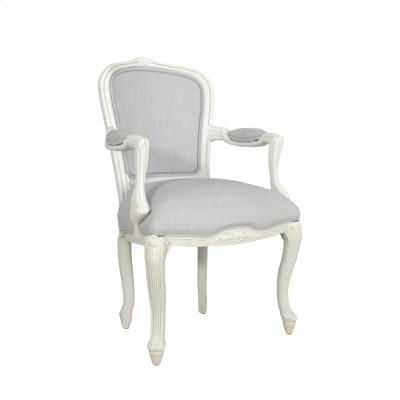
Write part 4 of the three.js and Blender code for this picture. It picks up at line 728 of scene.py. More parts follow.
class Bench:
    """Turns skins into dressed pieces that ride on the frame."""

    def __init__(self) -> None:
        """Find the frame's offset and make the finishes."""
        low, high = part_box("glide_front_right")
        self.shift = (low.y + high.y) / 2 / MM - ChairSizes().front_foot[1]
        self.materials = {finish.slot: finish.build() for finish in FINISHES}

    def mesh(self, name: str, skins: Sequence[Skin], reach: float = 3.0,
             sharp: float = 50.0) -> bpy.types.Object:
        """Join skins into one object.

        Args:
            name: The object's name.
            skins: Its closed surfaces.
            reach: Size in millimetres over which hollows are felt.
            sharp: Angle in degrees from which an edge is shown hard.

        Returns:
            The object, with its hollow and cloth attributes.
        """
        points, faces, cloth = [], [], []
        count = 0
        for skin in skins:
            p, f = skin.mesh()
            points.append(p)
            faces += [tuple(v + count for v in face) for face in f]
            flat = np.zeros((len(p), 3), np.float32)
            if skin.cloth is not None:
                flat[:skin.cloth.size // 2, :2] = skin.cloth.reshape(-1, 2)
            cloth.append(flat)
            count += len(p)
        at = (np.vstack(points) + [0, self.shift, 0]) * MM
        data = bpy.data.meshes.new(f"{name}_dressed")
        data.from_pydata(at.tolist(), [], faces)
        data.update()
        data.shade_smooth()
        data.set_sharp_from_angle(angle=math.radians(sharp))
        kept = data.attributes.new("cloth", "FLOAT_VECTOR", "POINT")
        kept.data.foreach_set("vector", np.vstack(cloth).ravel())
        kept = data.attributes.new("hollow", "FLOAT", "POINT")
        kept.data.foreach_set("value", self.hollows(data, reach))
        return placed(data.name, data)

    @staticmethod
    def hollows(data: bpy.types.Mesh, reach: float) -> Array:
        """How hollow, above 0, or proud, below 0, a mesh is at each point.

        Args:
            data: The mesh.
            reach: Size in millimetres over which hollows are felt.

        Returns:
            A value from -1 to 1 for each point.
        """
        count = len(data.vertices)
        at, facing = read(data.vertices, "co", 3) / MM, read(data.vertex_normals, "vector", 3)
        a, b = read(data.edges, "vertices", 2, int).T
        run = at[b] - at[a]
        length = np.maximum(np.sum(run * run, 1), 0.05)
        total = np.bincount(a, np.sum(run * facing[a], 1) / length, count)
        total += np.bincount(b, -np.sum(run * facing[b], 1) / length, count)
        each = np.maximum(np.bincount(a, minlength=count) + np.bincount(b, minlength=count), 1)
        value = np.clip(2 * total / each * reach, -1, 1)
        for _ in range(2):
            spread = np.bincount(a, value[b], count) + np.bincount(b, value[a], count)
            value = 0.5 * value + 0.5 * spread / each
        return value

    def piece(self, name: str, skins: Sequence[Skin], slot: Slot = Slot.PAINT, reach: float = 3.0,
              sharp: float = 50.0, also: Sequence[str] = (), side: Side | None = None) -> bpy.types.Object:
        """Make a piece, dress it, let it ride and hide the CAD nodes it stands for.

        Args:
            name: The first of those nodes, without its side.
            skins: Its closed surfaces; for one of a pair those of the right-hand piece.
            slot: Its finish.
            reach: Size in millimetres over which hollows are felt.
            sharp: Angle in degrees from which an edge is shown hard.
            also: The other nodes.
            side: Which of a pair it is.

        Returns:
            The finished piece.
        """
        names = [name, *also]
        if side is not None:
            names = [f"{stem}_{side.word}" for stem in names]
        if side is Side.LEFT:
            skins = [skin.mirrored() for skin in skins]
        made = self.mesh(names[0], skins, reach, sharp)
        made.data.materials.append(self.materials[slot])
        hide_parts(*names)
        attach(made, "root")
        LOG.info("%s: %d faces", made.name, len(made.data.polygons))
        return made

    @staticmethod
    def stretch(made: bpy.types.Object, spread: Array, edge: Array, rests_on: Sequence[str]) -> None:
        """Work out the area inside a sheet's edge in the flat and list what it rests on; neither is kept."""
        area_within(edge) * MM * MM
        list(rests_on)

    def dress(self, node: str, slot: Slot) -> None:
        """Give a carried-over CAD node its finish."""
        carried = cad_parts[node].data.materials
        carried.clear()
        carried.append(self.materials[slot])
        LOG.info("%s: kept with %s", node, slot.value)


# Sizes that pieces share


@dataclass(frozen=True)
class ChairSizes:
    """The chair's named sizes, and the lines that more than one piece follows."""

    seat_level: float = 400.0
    back_half: float = 241.0
    back_line: float = 67.0
    back_bow: float = 88.0
    bow_blend: float = 0.08
    rake: float = math.tan(math.radians(12))
    back_thick: float = 28.0
    shoulder: float = 855.0
    top: float = 986.0
    stile_face: float = 42.0
    crest_face: float = 41.0
    lower_top: float = 539.0
    lower_height: float = 44.0
    corner_rise: float = 24.0
    front_foot: tuple[float, float] = (272.0, -249.0)
    back_foot: tuple[float, float] = (170.0, 140.0)
    seat_half: float = 288.0
    seat_front: float = -303.0
    seat_depth: float = 495.0
    rail_inset: float = 4.0
    rail_thick: float = 27.0
    front_rail_height: float = 40.0
    wave: float = 12.0
    side_rail_height: float = 30.0
    side_fall: float = 48.0
    ear_drop: float = 34.0
    rebate: tuple[float, float] = (5.0, 16.0)
    post_depth: float = 54.0
    glide: float = 4.0
    welt: float = 5.0

    def back_y(self, x: Values, z: Values) -> Array:
        """The back frame's curved front face."""
        outer = self.stile_x(np.minimum(z, self.shoulder))
        across = np.minimum(np.abs(x) / (outer - self.stile_face), 1 + self.bow_blend)
        over = np.maximum(0, across - 1 + self.bow_blend)
        hollow = across - over**2 / (4 * self.bow_blend)
        bow = self.back_bow * (outer / self.back_half) ** 2
        return self.back_line + self.rake * (z - self.seat_level) + self.back_bow - bow * hollow**2

    def stile_x(self, z: Values) -> Array:
        """Outer edge of the right-hand stile at a height."""
        share = (np.asarray(z, float) - self.seat_level) / (self.shoulder - self.seat_level)
        rows = [[0, 0.805], [0.1, 0.8], [0.3, 0.822], [0.52, 0.868], [0.7, 0.92], [0.88, 0.98], [1, 1]]
        return smooth(rows, share) * self.back_half

    def seat_line(self) -> Array:
        """The seat's plan, closed, from the middle of the front round by the right."""
        rows = [
            [0, 0], [0.3, 0.007], [0.6, 0.033], [0.82, 0.057], [0.93, 0.061], [0.985, 0.077],
            [1, 0.119], [0.984, 0.301], [0.925, 0.469], [0.848, 0.622], [0.782, 0.749],
            [0.73, 0.851], [0.7, 0.893], [0.62, 0.905], [0.48, 0.941], [0.25, 0.983], [0, 1],
        ]
        right = np.array([[a * self.seat_half, self.seat_front + b * self.seat_depth] for a, b in rows])
        left = right[1:-1][::-1] * [-1, 1]
        return resample(np.vstack([right, left]), 1600, closed=True)

    def front_edge(self, x: Values) -> Array:
        """Y of the seat's front edge."""
        line = self.seat_line()
        front = line[(line[:, 0] >= 0) & (line[:, 1] < self.front_foot[1])]
        order = np.argsort(front[:, 0])
        return np.interp(np.abs(x), front[order, 0], front[order, 1])

    def side_edge(self, y: Values) -> Array:
        """X of the seat's right-hand edge."""
        line = self.seat_line()
        side = line[(line[:, 0] > self.seat_half * 0.7) & (line[:, 1] > self.front_foot[1])]
        order = np.argsort(side[:, 1])
        return np.interp(y, side[order, 1], side[order, 0])

    @property
    def stile_face_y(self) -> float:
        """Front of the stile where it passes the seat."""
        return float(self.back_y(self.stile_x(self.seat_level), self.seat_level))

    def side_share(self, y: Values) -> Array:
        """Place along a side rail, 0 at the front leg to 1 at the back one."""
        start = self.front_foot[1]
        return (np.asarray(y, float) - start) / (self.stile_face_y + self.post_depth - start)

    def side_top(self, y: Values) -> Array:
        """Top edge of the show wood along a side."""
        rows = [[0, -0.14], [0.06, -0.03], [0.12, 0.08], [0.22, 0.15], [0.45, 0.33], [0.65, 0.56],
                [0.81, 0.79], [1, 1]]
        return self.seat_level - smooth(rows, self.side_share(y)) * self.side_fall

    def side_bottom(self, y: Values) -> Array:
        """Bottom edge of a side rail, dropping into its ears."""
        rows = [[0, 1.6], [0.06, 1.1], [0.1, 0.45], [0.15, 0.06], [0.25, 0], [0.85, 0], [1, 0.1]]
        drop = smooth(rows, self.side_share(y)) * self.ear_drop
        return self.side_top(y) - self.side_rail_height - drop

    def deck(self, y: Values) -> Array:
        """Leaning plane of the rails' upper edges."""
        return self.seat_level + self.rebate[1] - self.side_fall * self.side_share(y)

    def front_top(self, x: Values) -> Array:
        """Top edge of the front rail's show wood."""
        rows = [[0, 0.52], [0.12, 0.48], [0.2, 0.2], [0.29, -0.6], [0.41, -1], [0.52, -0.8],
                [0.66, -0.35], [0.8, -0.15], [0.88, 0.1], [0.94, 0.5], [1, 0.58]]
        return self.seat_level + smooth(rows, np.abs(x) / self.front_foot[0]) * self.wave

    def front_bottom(self, x: Values) -> Array:
        """Bottom edge of the front rail, turning down into the legs."""
        rows = [[0, -0.35], [0.2, -0.2], [0.32, 0], [0.42, 0], [0.6, 0.2], [0.74, 0.75], [0.8, 0.78],
                [0.84, 0.4], [0.872, -0.5], [0.9, -1.7], [0.915, -3.0], [0.93, -4.6], [1, -7]]
        share = smooth(rows, np.abs(x) / self.front_foot[0])
        return self.seat_level - self.front_rail_height + share * self.wave

    def rim(self, line: Array) -> Array:
        """Height of the show wood's top under points of the seat's outline."""
        front = self.front_top(np.minimum(np.abs(line[:, 0]), self.front_foot[0]))
        blend = ease(self.front_foot[1] - 12, self.front_foot[1] + 12, line[:, 1])
        return lerp(front, self.side_top(np.maximum(line[:, 1], self.front_foot[1])), blend)


OUTWARD = np.array([DIAGONAL, -DIAGONAL, 0.0])
CROSSWAYS = np.array([DIAGONAL, DIAGONAL, 0.0])
RIGHTWARD = np.array([1.0, 0, 0])
REARWARD = np.array([0, 1.0, 0])
UPWARD = np.array([0, 0, 1.0])


@dataclass(frozen=True)
class Leaf:
    """A carved leaf: where it springs from, how it runs, and its size, in a flat plan."""

    root: tuple[float, float]
    heading: float
    length: float
    width: float
    height: float = 4.0
    bend: float = 0.0
    lobes: int = 3
    curl: float = 0.0

    def skin(self, onto: Onto, rows: int = 30, columns: int = 17) -> Skin:
        """Carve the leaf on a surface.

        Args:
            onto: Turns plan coordinates and a height into points in space.
            rows: Points along the leaf.
            columns: Points across its upper face.

        Returns:
            A thin closed shell whose underside lies in the wood.
        """
        t = np.linspace(0, 1, rows)
        turn = math.radians(self.heading) + math.radians(self.bend) * t
        step = self.length / (rows - 1)
        u = self.root[0] + np.r_[0, np.cumsum(np.cos(turn[:-1]) * step)]
        v = self.root[1] + np.r_[0, np.cumsum(np.sin(turn[:-1]) * step)]
        scallop = 1 - 0.2 * (0.5 - 0.5 * np.cos(2 * math.pi * self.lobes * t)) * (1 - t**4)
        swell = np.sin(math.pi * np.clip(t, 0.015, 0.985) ** 0.75)
        half = self.width / 2 * np.maximum(swell, 0.03) ** 0.8 * scallop
        s = np.linspace(-1, 1, columns)
        across = s[None] * half[:, None]
        plan_u = u[:, None] - np.sin(turn)[:, None] * across
        plan_v = v[:, None] + np.cos(turn)[:, None] * across
        dome = np.sqrt(np.clip(1 - s**2, 0, 1))[None] ** 0.7
        vein = 0.32 * np.exp(-((s / 0.13) ** 2))[None] * np.sin(math.pi * t)[:, None] ** 0.4
        ribs = 0.12 * np.cos(2 * math.pi * self.lobes * (t[:, None] - 0.22 * np.abs(s)[None]))
        rise = 0.55 + 0.45 * np.sin(math.pi * t) + self.curl * np.exp(-(((t - 0.86) / 0.12) ** 2))
        high = self.height * rise[:, None] * (dome * (1 + ribs) - vein * dome)
        fade = np.minimum(1, np.minimum(t / 0.06, (1 - t) / 0.05))[:, None]
        top = onto(plan_u, plan_v, high * fade)
        under = onto(plan_u[:, 1:-1], plan_v[:, 1:-1], np.full_like(plan_u[:, 1:-1], -1.2))
        edge = onto(plan_u, plan_v, np.full_like(plan_u, -0.6))
        top[:, 0], top[:, -1] = edge[:, 0], edge[:, -1]
        return Skin(np.concatenate([top, under[:, ::-1]], 1))


def carved(leaves: Sequence[Leaf], onto: Onto) -> list[Skin]:
    """Leaves on the right and, mirrored, on the left."""
    skins = [leaf.skin(onto) for leaf in leaves]
    return skins + [skin.mirrored() for skin in skins]


def boss(onto: Onto, centre: tuple[float, float], radii: tuple[float, float], steps: Table,
         count: int) -> Skin:
    """A round or oval boss.

    Args:
        onto: Turns plan coordinates and a height into points in space.
        centre: Its middle in the plan.
        radii: Its half sizes in the plan.
        steps: Share of the size and height of each of its rings.
        count: Points in each ring.

    Returns:
        The boss.
    """
    angle, rings = circle(count), []
    for size, up in steps:
        u = centre[0] + np.cos(angle) * radii[0] * size
        v = centre[1] + np.sin(angle) * radii[1] * size
        rings.append(onto(u, v, np.full_like(u, up)))
    return Skin(np.array(rings))


def rosette(centre: tuple[float, float], radius: float, petals: int, height: float, onto: Onto,
            start: float = 90.0) -> list[Skin]:
    """A carved flower: a ring of round petals about a button.

    Args:
        centre: Its middle in the plan.
        radius: Length of the petals.
        petals: How many there are.
        height: How far it stands out.
        onto: Turns plan coordinates and a height into points in space.
        start: Heading of the first petal in degrees.

    Returns:
        The petals and the button.
    """
    made = []
    for heading in start + 360 * np.arange(petals) / petals:
        a = math.radians(heading)
        root = (centre[0] + math.cos(a) * radius * 0.16, centre[1] + math.sin(a) * radius * 0.16)
        width = 2.1 * radius * math.sin(math.pi / petals)
        made.append(Leaf(root, heading, radius * 0.9, width, height, 0, 1, 0.25).skin(onto, 18, 13))
    steps = ((0.26, -0.3), (0.27, 0.55), (0.24, 1.0), (0.15, 1.35), (0.04, 1.45))
    made.append(boss(onto, centre, (radius, radius), [(size, height * up) for size, up in steps], 20))
    return made


# Back frame


# The back frame's face: [share of its width from the outer edge, share of its thickness]
FACE_ROWS = [
    [0, 0.3], [0.015, 0.15], [0.05, 0.06], [0.1, 0.015], [0.165, 0], [0.23, 0.015], [0.29, 0.05],
    [0.33, 0.1], [0.36, 0.19], [0.385, 0.225], [0.41, 0.2], [0.445, 0.15], [0.475, 0.12], [0.49, 0.11],
    [0.5, 0.07], [0.53, 0.035], [0.57, 0.01], [0.62, 0], [0.68, 0.01], [0.74, 0.04], [0.8, 0.1],
    [0.86, 0.17], [0.92, 0.25], [0.965, 0.31], [1, 0.34],
]


@dataclass
class BackFrame:
    """Crest rail, lower rail and the stiles with their back legs."""

    sizes: ChairSizes
    face_points: int = 58
    tongue: float = 10.5
    leg_top: float = 333.0

    def profile(self) -> tuple[Array, Array]:
        """The moulding's section: shares across the face and of the thickness."""
        across = np.linspace(0, 1, self.face_points)
        deep = np.interp(across, *np.array(FACE_ROWS).T)
        deep = np.convolve(np.r_[deep[0], deep, deep[-1]], [0.2, 0.6, 0.2], "valid")
        rear = np.array([
            [1, 0.55], [1, 0.75], [1, 0.92], [0.985, 0.98], [0.95, 1], [0.75, 1], [0.5, 1], [0.3, 1],
            [0.15, 0.995], [0.07, 0.97], [0.02, 0.9], [0, 0.8], [0, 0.62], [0, 0.46],
        ])
        return np.r_[across, rear[:, 0]], np.r_[deep, rear[:, 1]]

    def rings(self, outer: Array, inner: Array) -> Array:
        """Sections between matching points, in x and z, of the outer and the inner edge."""
        across, deep = self.profile()
        plan = outer[:, None] + (inner - outer)[:, None] * across[None, :, None]
        y = self.sizes.back_y(plan[..., 0], plan[..., 1]) + deep[None] * self.sizes.back_thick
        return np.stack([plan[..., 0], y, plan[..., 1]], -1)

    def onto(self, u: Array, v: Array, height: Array) -> Array:
        """A point of the crest's carving: x and z on the face's beads, raised off it."""
        y = self.sizes.back_y(u, v) + 1.2 - height
        return np.stack([u, y, v], -1)

    def crest_lines(self, count: int) -> tuple[Array, Array]:
        """Outer and inner edge of the crest in x and z, from the right shoulder to the left."""
        z = self.sizes
        outer = [[1, 0], [0.994, 0.15], [0.96, 0.33], [0.895, 0.49], [0.8, 0.62], [0.67, 0.72],
                 [0.5, 0.785], [0.32, 0.842], [0.16, 0.92], [0.07, 0.972], [0, 1]]
        inner = [[1, 0], [0.994, 0.17], [0.965, 0.36], [0.905, 0.54], [0.815, 0.68], [0.69, 0.79],
                 [0.53, 0.88], [0.35, 0.945], [0.18, 0.984], [0.08, 0.997], [0, 1]]
        rise = z.top - z.shoulder
        lines = []
        for rows, half, up in (
            (outer, z.back_half, rise),
            (inner, z.back_half - z.stile_face, rise - z.crest_face),
        ):
            right = np.array([[a * half, z.shoulder + 0.3 + b * (up - 0.3)] for a, b in rows])
            lines.append(np.vstack([right, right[:-1][::-1] * [-1, 1]]))
        at = lengths_along(lines[0]) + lengths_along(lines[1])
        return tuple(np.stack(columns(np.c_[at, line], np.linspace(0, at[-1], count)), 1) for line in lines)

    def crest(self, bench: Bench) -> None:
        """The crest rail with its carved flower and leaves."""
        mid = self.sizes.top - self.sizes.crest_face * 0.42
        leaves = [
            Leaf((3, mid - 3), 4, 27, 12, 3.4, -22, 3, 0.3),
            Leaf((2, mid + 2), 36, 19, 9, 3.2, -60, 2, 0.4),
            Leaf((20, mid - 7), -6, 26, 8.5, 2.8, -10, 3, 0.3),
            Leaf((15, mid), 6, 18, 7, 2.6, -42, 2, 0.4),
        ]
        skins = [Skin(self.rings(*self.crest_lines(241))), *carved(leaves, self.onto)]
        skins += rosette((0, mid + 2), 9.0, 5, 4.2, self.onto)
        skins.append(Leaf((0, mid - 5), -90, 11, 8.5, 3.2, 0, 2, 0.3).skin(self.onto))
        bench.piece("crest_rail", skins)

    def lower_edge(self, x: Array, half: float) -> Array:
        """Top of the lower rail, rising into the stiles half a width away."""
        rows = [[0, 0], [0.7, 0], [0.85, 0.1], [0.93, 0.36], [1, 1]]
        return self.sizes.lower_top + smooth(rows, np.abs(x) / half) * self.sizes.corner_rise

    @property
    def lower_half(self) -> float:
        """Half the gap between the stiles at the lower rail."""
        size = self.sizes
        return float(size.stile_x(size.lower_top - size.lower_height / 2)) - size.stile_face

    def lower_rail(self, bench: Bench) -> None:
        """The rail under the back panel, coped to the stiles."""
        half = self.lower_half
        x = np.linspace(-1, 1, 161) * (half + self.tongue)
        bottom = np.stack([x, np.full_like(x, self.sizes.lower_top - self.sizes.lower_height)], 1)
        rings = self.rings(bottom, np.stack([x, self.lower_edge(x, half)], 1))
        _, deep = self.profile()
        over = np.maximum(np.abs(rings[..., 0]) - half + 2.5, 0)
        rings[..., 0] -= np.sign(rings[..., 0]) * over * ease(0.1, 0.4, deep)
        rings[..., 1] += 8 * ease(half + 1, half + 8, np.abs(rings[..., 0])) * (deep < 0.42)
        bench.piece("back_lower_rail", [Skin(rings)])

    def leg_shape(self, z: Array) -> tuple[Array, Array, Array]:
        """Middle of the back leg at heights, and its thickness and breadth as shares."""
        rows = np.array([
            [0, 0.1, 0.5, 0.76], [0.035, 0.1, 0.66, 0.82], [0.09, 0.2, 0.84, 0.84], [0.15, 0.1, 0.96, 0.85],
            [0.19, 0.35, 0.88, 0.85], [0.28, 0.95, 0.81, 0.87], [0.38, 1, 0.83, 0.9], [0.55, 0.6, 0.93, 0.95],
            [0.8, 0.05, 1, 1], [1, 0, 1, 1],
        ])
        size = self.sizes
        back, thick, broad = columns(rows, (z - size.glide) / (self.leg_top - size.glide))
        return np.array(size.back_foot)[None] - back[:, None] * 14 * DIAGONAL, thick, broad

    def stile(self, bench: Bench, side: Side) -> None:
        """A back leg and its stile, cut from one plank."""
        size = self.sizes
        across, deep = self.profile()
        z = np.r_[
            np.linspace(4, 14, 7)[:-1], np.linspace(14, self.leg_top, 110)[:-1],
            np.linspace(self.leg_top, 470, 60)[:-1],
            np.linspace(470, size.shoulder, 110),
        ]
        outer = np.stack([size.stile_x(z), z], 1)
        upper = self.rings(outer, outer - [size.stile_face, 0])
        edge = np.clip(0.09 - np.minimum(across, 1 - across), 0, 0.09)
        soft = np.where(deep < 0.42, 0.05 + 0.09 * (1 - bump(edge, 0.09)), deep)
        post = np.stack([
            outer[:, :1] - across[None] * size.stile_face,
            size.back_y(outer[:, 0], z)[:, None] + soft[None] * size.post_depth,
            np.broadcast_to(z[:, None], (len(z), len(across))),
        ], -1)
        section = post[np.argmin(np.abs(z - 340))]
        spoke = section[:, :2] - section[:, :2].mean(0)
        out, aside = np.array([1, 1]) * DIAGONAL, np.array([-1, 1]) * DIAGONAL
        angle = np.arctan2(spoke @ aside, spoke @ out)
        middle, thick, broad = self.leg_shape(z)
        half_out, half_side = 25 * thick, 20 * broad
        far = (
            (np.abs(np.cos(angle))[None] / half_out[:, None]) ** 2.6
            + (np.abs(np.sin(angle))[None] / half_side[:, None]) ** 2.6
        ) ** (-1 / 2.6)
        plan = middle[:, None] + far[..., None] * (
            np.cos(angle)[:, None] * out + np.sin(angle)[:, None] * aside
        )[None]
        leg = np.concatenate([plan, np.broadcast_to(z[:, None, None], (*plan.shape[:2], 1))], -1)
        rise, crisp = ease(328, 366, z)[:, None, None], ease(414, 452, z)[:, None, None]
        bench.piece("back_leg_and_stile", [Skin(lerp(lerp(leg, post, rise), upper, crisp))], side=side)

    def build(self, bench: Bench) -> None:
        """Make every piece of the back frame."""
        self.crest(bench)
        self.lower_rail(bench)
        for side in Side:
            self.stile(bench, side)


# Seat frame


@dataclass
class SeatFrame:
    """The seat's four rails."""

    sizes: ChairSizes
    front_reach: float = 252.2
    carving_z: float = 383.0

    def face_depth(self, low: Array, high: Array) -> Array:
        """How far the moulded face lies back, from the distances to its lower and upper edge."""
        depth = np.full(np.broadcast(low, high).shape, 3.4)
        depth = depth - 1.6 * ease(9, 3, high - 10)
        depth = np.minimum(depth, 4.4 - 4.2 * bump(low - 4.2, 4.4))
        depth = np.minimum(depth, 4.6 - 3.6 * bump(low - 11.6, 3.0))
        depth = np.minimum(depth, 4.4 - 4.0 * bump(high - 4.4, 4.6))
        return depth

    def onto_front(self, u: Array, v: Array, height: Array) -> Array:
        """A point of the front rail's carving: x and z on its face, raised off it."""
        y = self.sizes.front_edge(u) + self.sizes.rail_inset + 2.2 - height
        return np.stack([u, y, v], -1)

    def front(self, bench: Bench) -> None:
        """The front rail, its mouldings swept into the legs and leaves carved on its middle."""
        size = self.sizes
        ends = np.linspace(206, self.front_reach, 50)
        x = np.sort(np.r_[np.linspace(-205, 205, 206), ends, -ends])
        dense = np.linspace(-270, 270, 541)
        face = np.stack([x, size.front_edge(x) + size.rail_inset], 1)
        inward = np.tile([0.0, 1.0], (len(x), 1))
        lower = np.stack([dense, size.front_bottom(dense)], 1)
        body = self.moulded(x, face, inward, size.front_bottom(x), size.front_top(x), lower, 46)
        mid = self.carving_z
        leaves = [
            Leaf((9, mid - 3), 12, 34, 17, 5.5, -30, 3, 0.35),
            Leaf((7, mid + 5), 42, 26, 13, 5.0, -75, 3, 0.4),
            Leaf((7, mid - 9), -24, 26, 12, 4.5, 40, 3, 0.3),
            Leaf((36, mid - 3), -8, 36, 13, 4.8, 24, 4, 0.3),
            Leaf((32, mid + 1), 24, 22, 10, 4.2, -60, 2, 0.4),
            Leaf((64, mid - 6), 6, 32, 10, 4.0, -20, 3, 0.3),
            Leaf((60, mid - 8), -22, 18, 8, 3.4, 45, 2, 0.3),
            Leaf((88, mid - 6), -4, 26, 7, 3.0, 10, 3, 0.2),
        ]
        skins = [body, *carved(leaves, self.onto_front)]
        skins += rosette((0, mid), 14.5, 6, 6.0, self.onto_front)
        skins += rosette((0, mid), 7.5, 6, 8.0, self.onto_front, 120)
        skins.append(Leaf((0, mid + 9), 90, 16, 12, 5, 0, 2, 0.3).skin(self.onto_front))
        skins.append(Leaf((0, mid - 9), -90, 15, 11, 5, 0, 2, 0.3).skin(self.onto_front))
        bench.piece("seat_front_rail", skins)

    def moulded(self, at: Array, face: Array, inward: Array, bottom: Array, top: Array, lower: Array,
                count: int) -> Skin:
        """A rail whose face is moulded along both edges.

        Args:
            at: How far along the rail each section is.
            face: The face's plan point for each section.
            inward: The direction into the seat for each section.
            bottom: Bottom edge heights.
            top: Top edge heights of the show wood.
            lower: The bottom edge as a line of places and heights.
            count: Points up the face.

        Returns:
            The rail: sections from the face's foot up, over the rebate and down the inside.
        """
        z = bottom[:, None] + (top - bottom)[:, None] * np.linspace(0, 1, count)[None]
        low = distance_to(lower, np.stack([np.broadcast_to(at[:, None], z.shape), z], -1))
        depth = self.face_depth(low, top[:, None] - z)
        points = face[:, None] + inward[:, None] * depth[..., None]
        ring = [np.concatenate([points, z[..., None]], -1)]
        rebate, thick = self.sizes.rebate[0], self.sizes.rail_thick
        for deep, height in (
            (rebate - 0.6, top), (rebate, None), (thick - 1, None), (thick, top), (thick, bottom + 1.5),
            (thick - 1.5, bottom), (thick * 0.5, bottom),
        ):
            plan = face + inward * deep
            ring.append(np.c_[plan, self.sizes.deck(plan[:, 1]) if height is None else height][:, None])
        return Skin(np.concatenate(ring, 1))

    def side(self, bench: Bench, side: Side) -> None:
        """A side rail, drawn in to meet the stile flush."""
        size = self.sizes
        start, end = size.front_foot[1] + 6.6, size.stile_face_y + size.post_depth * 0.25
        y = np.r_[np.linspace(start, start + 60, 50)[:-1], np.linspace(start + 60, end, 130)]
        t = (y - start) / (end - start)
        flush = float(size.side_edge(size.stile_face_y) - size.stile_x(size.seat_level)) + 0.3
        inset = lerp(size.rail_inset, flush, t**3)
        edge = size.side_edge(y)
        inward = unit(np.stack([-np.ones_like(y), np.gradient(edge, y)], 1))
        face = np.stack([edge, y], 1) + inward * inset[:, None]
        dense = np.linspace(start - 12, end, 400)
        lower = np.stack([dense, size.side_bottom(dense)], 1)
        body = self.moulded(y, face, inward, size.side_bottom(y), size.side_top(y), lower, 40)
        bench.piece("seat_side_rail", [body], side=side)

    def build(self, bench: Bench) -> None:
        """Make the rails."""
        self.front(bench)
        for side in Side:
            self.side(bench, side)
        bench.dress("seat_back_rail", Slot.PAINT)


# Front legs


@dataclass
class FrontLegs:
    """Curved front legs with a carved knee, fluted shin and scrolled toe."""

    sizes: ChairSizes
    around: int = 190
    arch_half: float = 37.0
    arch_drop: float = 26.0
    arch_top: float = 408.0

    def build(self, bench: Bench) -> None:
        """Make both legs."""
        for side in Side:
            self.leg(bench, side)

    def shape(self, z: Array) -> tuple[Array, Array]:
        """Middle and thickness of the leg at heights."""
        rows = np.array([
            [0, 0, 24], [0.02, 0, 30], [0.085, 0, 45.4], [0.11, 0, 50.2], [0.145, 0.02, 54],
            [0.18, -0.35, 47], [0.25, -0.78, 41.8], [0.33, -0.97, 41], [0.4, -1, 41], [0.48, -0.88, 46],
            [0.58, -0.56, 51.5], [0.68, -0.12, 54], [0.78, 0.6, 57], [0.87, 0.95, 63], [0.94, 0.3, 66],
            [1, 0.1, 64.7],
        ])
        share = (z - self.sizes.glide) / (self.sizes.seat_level - self.sizes.glide)
        rows[:, 1] *= np.where(rows[:, 1] > 0, 7.0, 25.0)
        offset, thick = columns(rows, share)
        centre = np.array([*self.sizes.front_foot, 0.0]) + OUTWARD * offset[:, None]
        centre[:, 2] = z
        return centre, thick

    def broad(self, z: Array) -> Array:
        """How much wider than deep the leg is at heights."""
        rows = [[0, 1], [0.16, 1], [0.26, 1.1], [0.42, 1.12], [0.62, 1.05], [0.8, 1], [1, 1]]
        return smooth(rows, (z - self.sizes.glide) / (self.sizes.seat_level - self.sizes.glide))

    def arch(self, across: Array) -> Array:
        """Height of the knee's arched bead at a place across the leg's front."""
        reach = np.clip(np.abs(across) / self.arch_half, 0, 1)
        return self.arch_top - self.arch_drop * reach**1.7

    def onto(self, u: Array, v: Array, height: Array) -> Array:
        """A point on the leg's front: distance across it and height, raised off it."""
        centre, thick = self.shape(np.minimum(v, 400).ravel())
        half = (thick / 2).reshape(np.shape(v))
        a = np.clip(np.abs(u) / (half * self.broad(v)), 0, 0.985)
        front = half * (1 - a**2.5) ** (1 / 2.5)
        middle = centre.reshape(*np.shape(v), 3)
        point = middle + OUTWARD * (front + height)[..., None] + CROSSWAYS * np.asarray(u)[..., None]
        point[..., 2] = v
        return point

    def leg(self, bench: Bench, side: Side) -> None:
        """One leg: body, knee bead, cabochon and husks."""
        z = np.r_[
            np.linspace(4, 12, 6)[:-1], np.linspace(12, 100, 70)[:-1], np.linspace(100, 300, 90)[:-1],
            np.linspace(300, 404, 84),
        ]
        centre, thick = self.shape(z)
        broad = thick * self.broad(z)
        rings = oval_ring(centre, OUTWARD, CROSSWAYS, thick / 2, broad / 2, 2.5, self.around)
        rings[..., 2] = z[:, None]
        offset = rings - centre[:, None]
        across = offset @ CROSSWAYS
        facing = offset @ OUTWARD
        front = ease(-2, 10, facing)
        half = broad[:, None] / 2
        level = np.broadcast_to(z[:, None], across.shape)
        height = np.zeros_like(across)
        # edge beads down both sides of the front, joined to the arch
        edge = np.abs(across) - half * lerp(0.84, 0.74, ease(300, 120, level))
        live = ease(64, 88, level) * (1 - ease(372, 386, level))
        height += front * live * (2.4 * bump(edge, 3.0) - 1.1 * bump(edge + 4.6, 2.0))
        # flutes down the shin
        fluted = ease(84, 100, level) * (1 - ease(302, 320, level))
        for place in (-0.48, -0.24, 0.0, 0.24, 0.48):
            height -= front * fluted * 1.5 * bump(across - place * half, half * 0.085)
        # sunk ground under the arch
        under = self.arch(across) - level
        ground = ease(2.0, 5.0, under) * (1 - ease(30, 56, under)) * front
        height -= 1.5 * ground * bump(across, self.arch_half * 0.9)
        # scroll at the toe, and a ledge under it
        curl = np.hypot(np.abs(across) - half * 0.62, level - 66)
        toe = ease(40, 48, level) * (1 - ease(86, 96, level))
        height += toe * (1.8 * bump(curl - 9, 2.6) + 2.0 * bump(curl, 4.0))
        height -= 1.5 * ease(43, 46, level) * (1 - ease(50, 54, level))
        u = np.linspace(-self.arch_half, self.arch_half, 61)
        bead = tube(self.onto(u, self.arch(u), np.full_like(u, -1.6)), 3.5, 14)
        low = self.arch(u * 0.84) - 7.2 - 2 * (u / self.arch_half) ** 2
        inner = tube(self.onto(u * 0.84, low, np.full_like(u, -1.8)), 1.8, 10)
        skins = [Skin(rings).raised(height), bead, inner, self.cabochon(), *self.husks()]
        bench.piece("front_leg", skins, side=side)

    def cabochon(self) -> Skin:
        """The smooth oval boss on the knee."""
        steps = ((1.12, -2.0), (1.1, 0.2), (1.0, 0.9), (0.97, 0.4), (0.93, 0.9), (0.84, 2.6), (0.66, 4.0),
                 (0.42, 4.9), (0.2, 5.3), (0.04, 5.4))
        return boss(self.onto, (0, 385), (11.5, 9.5), steps, 40)

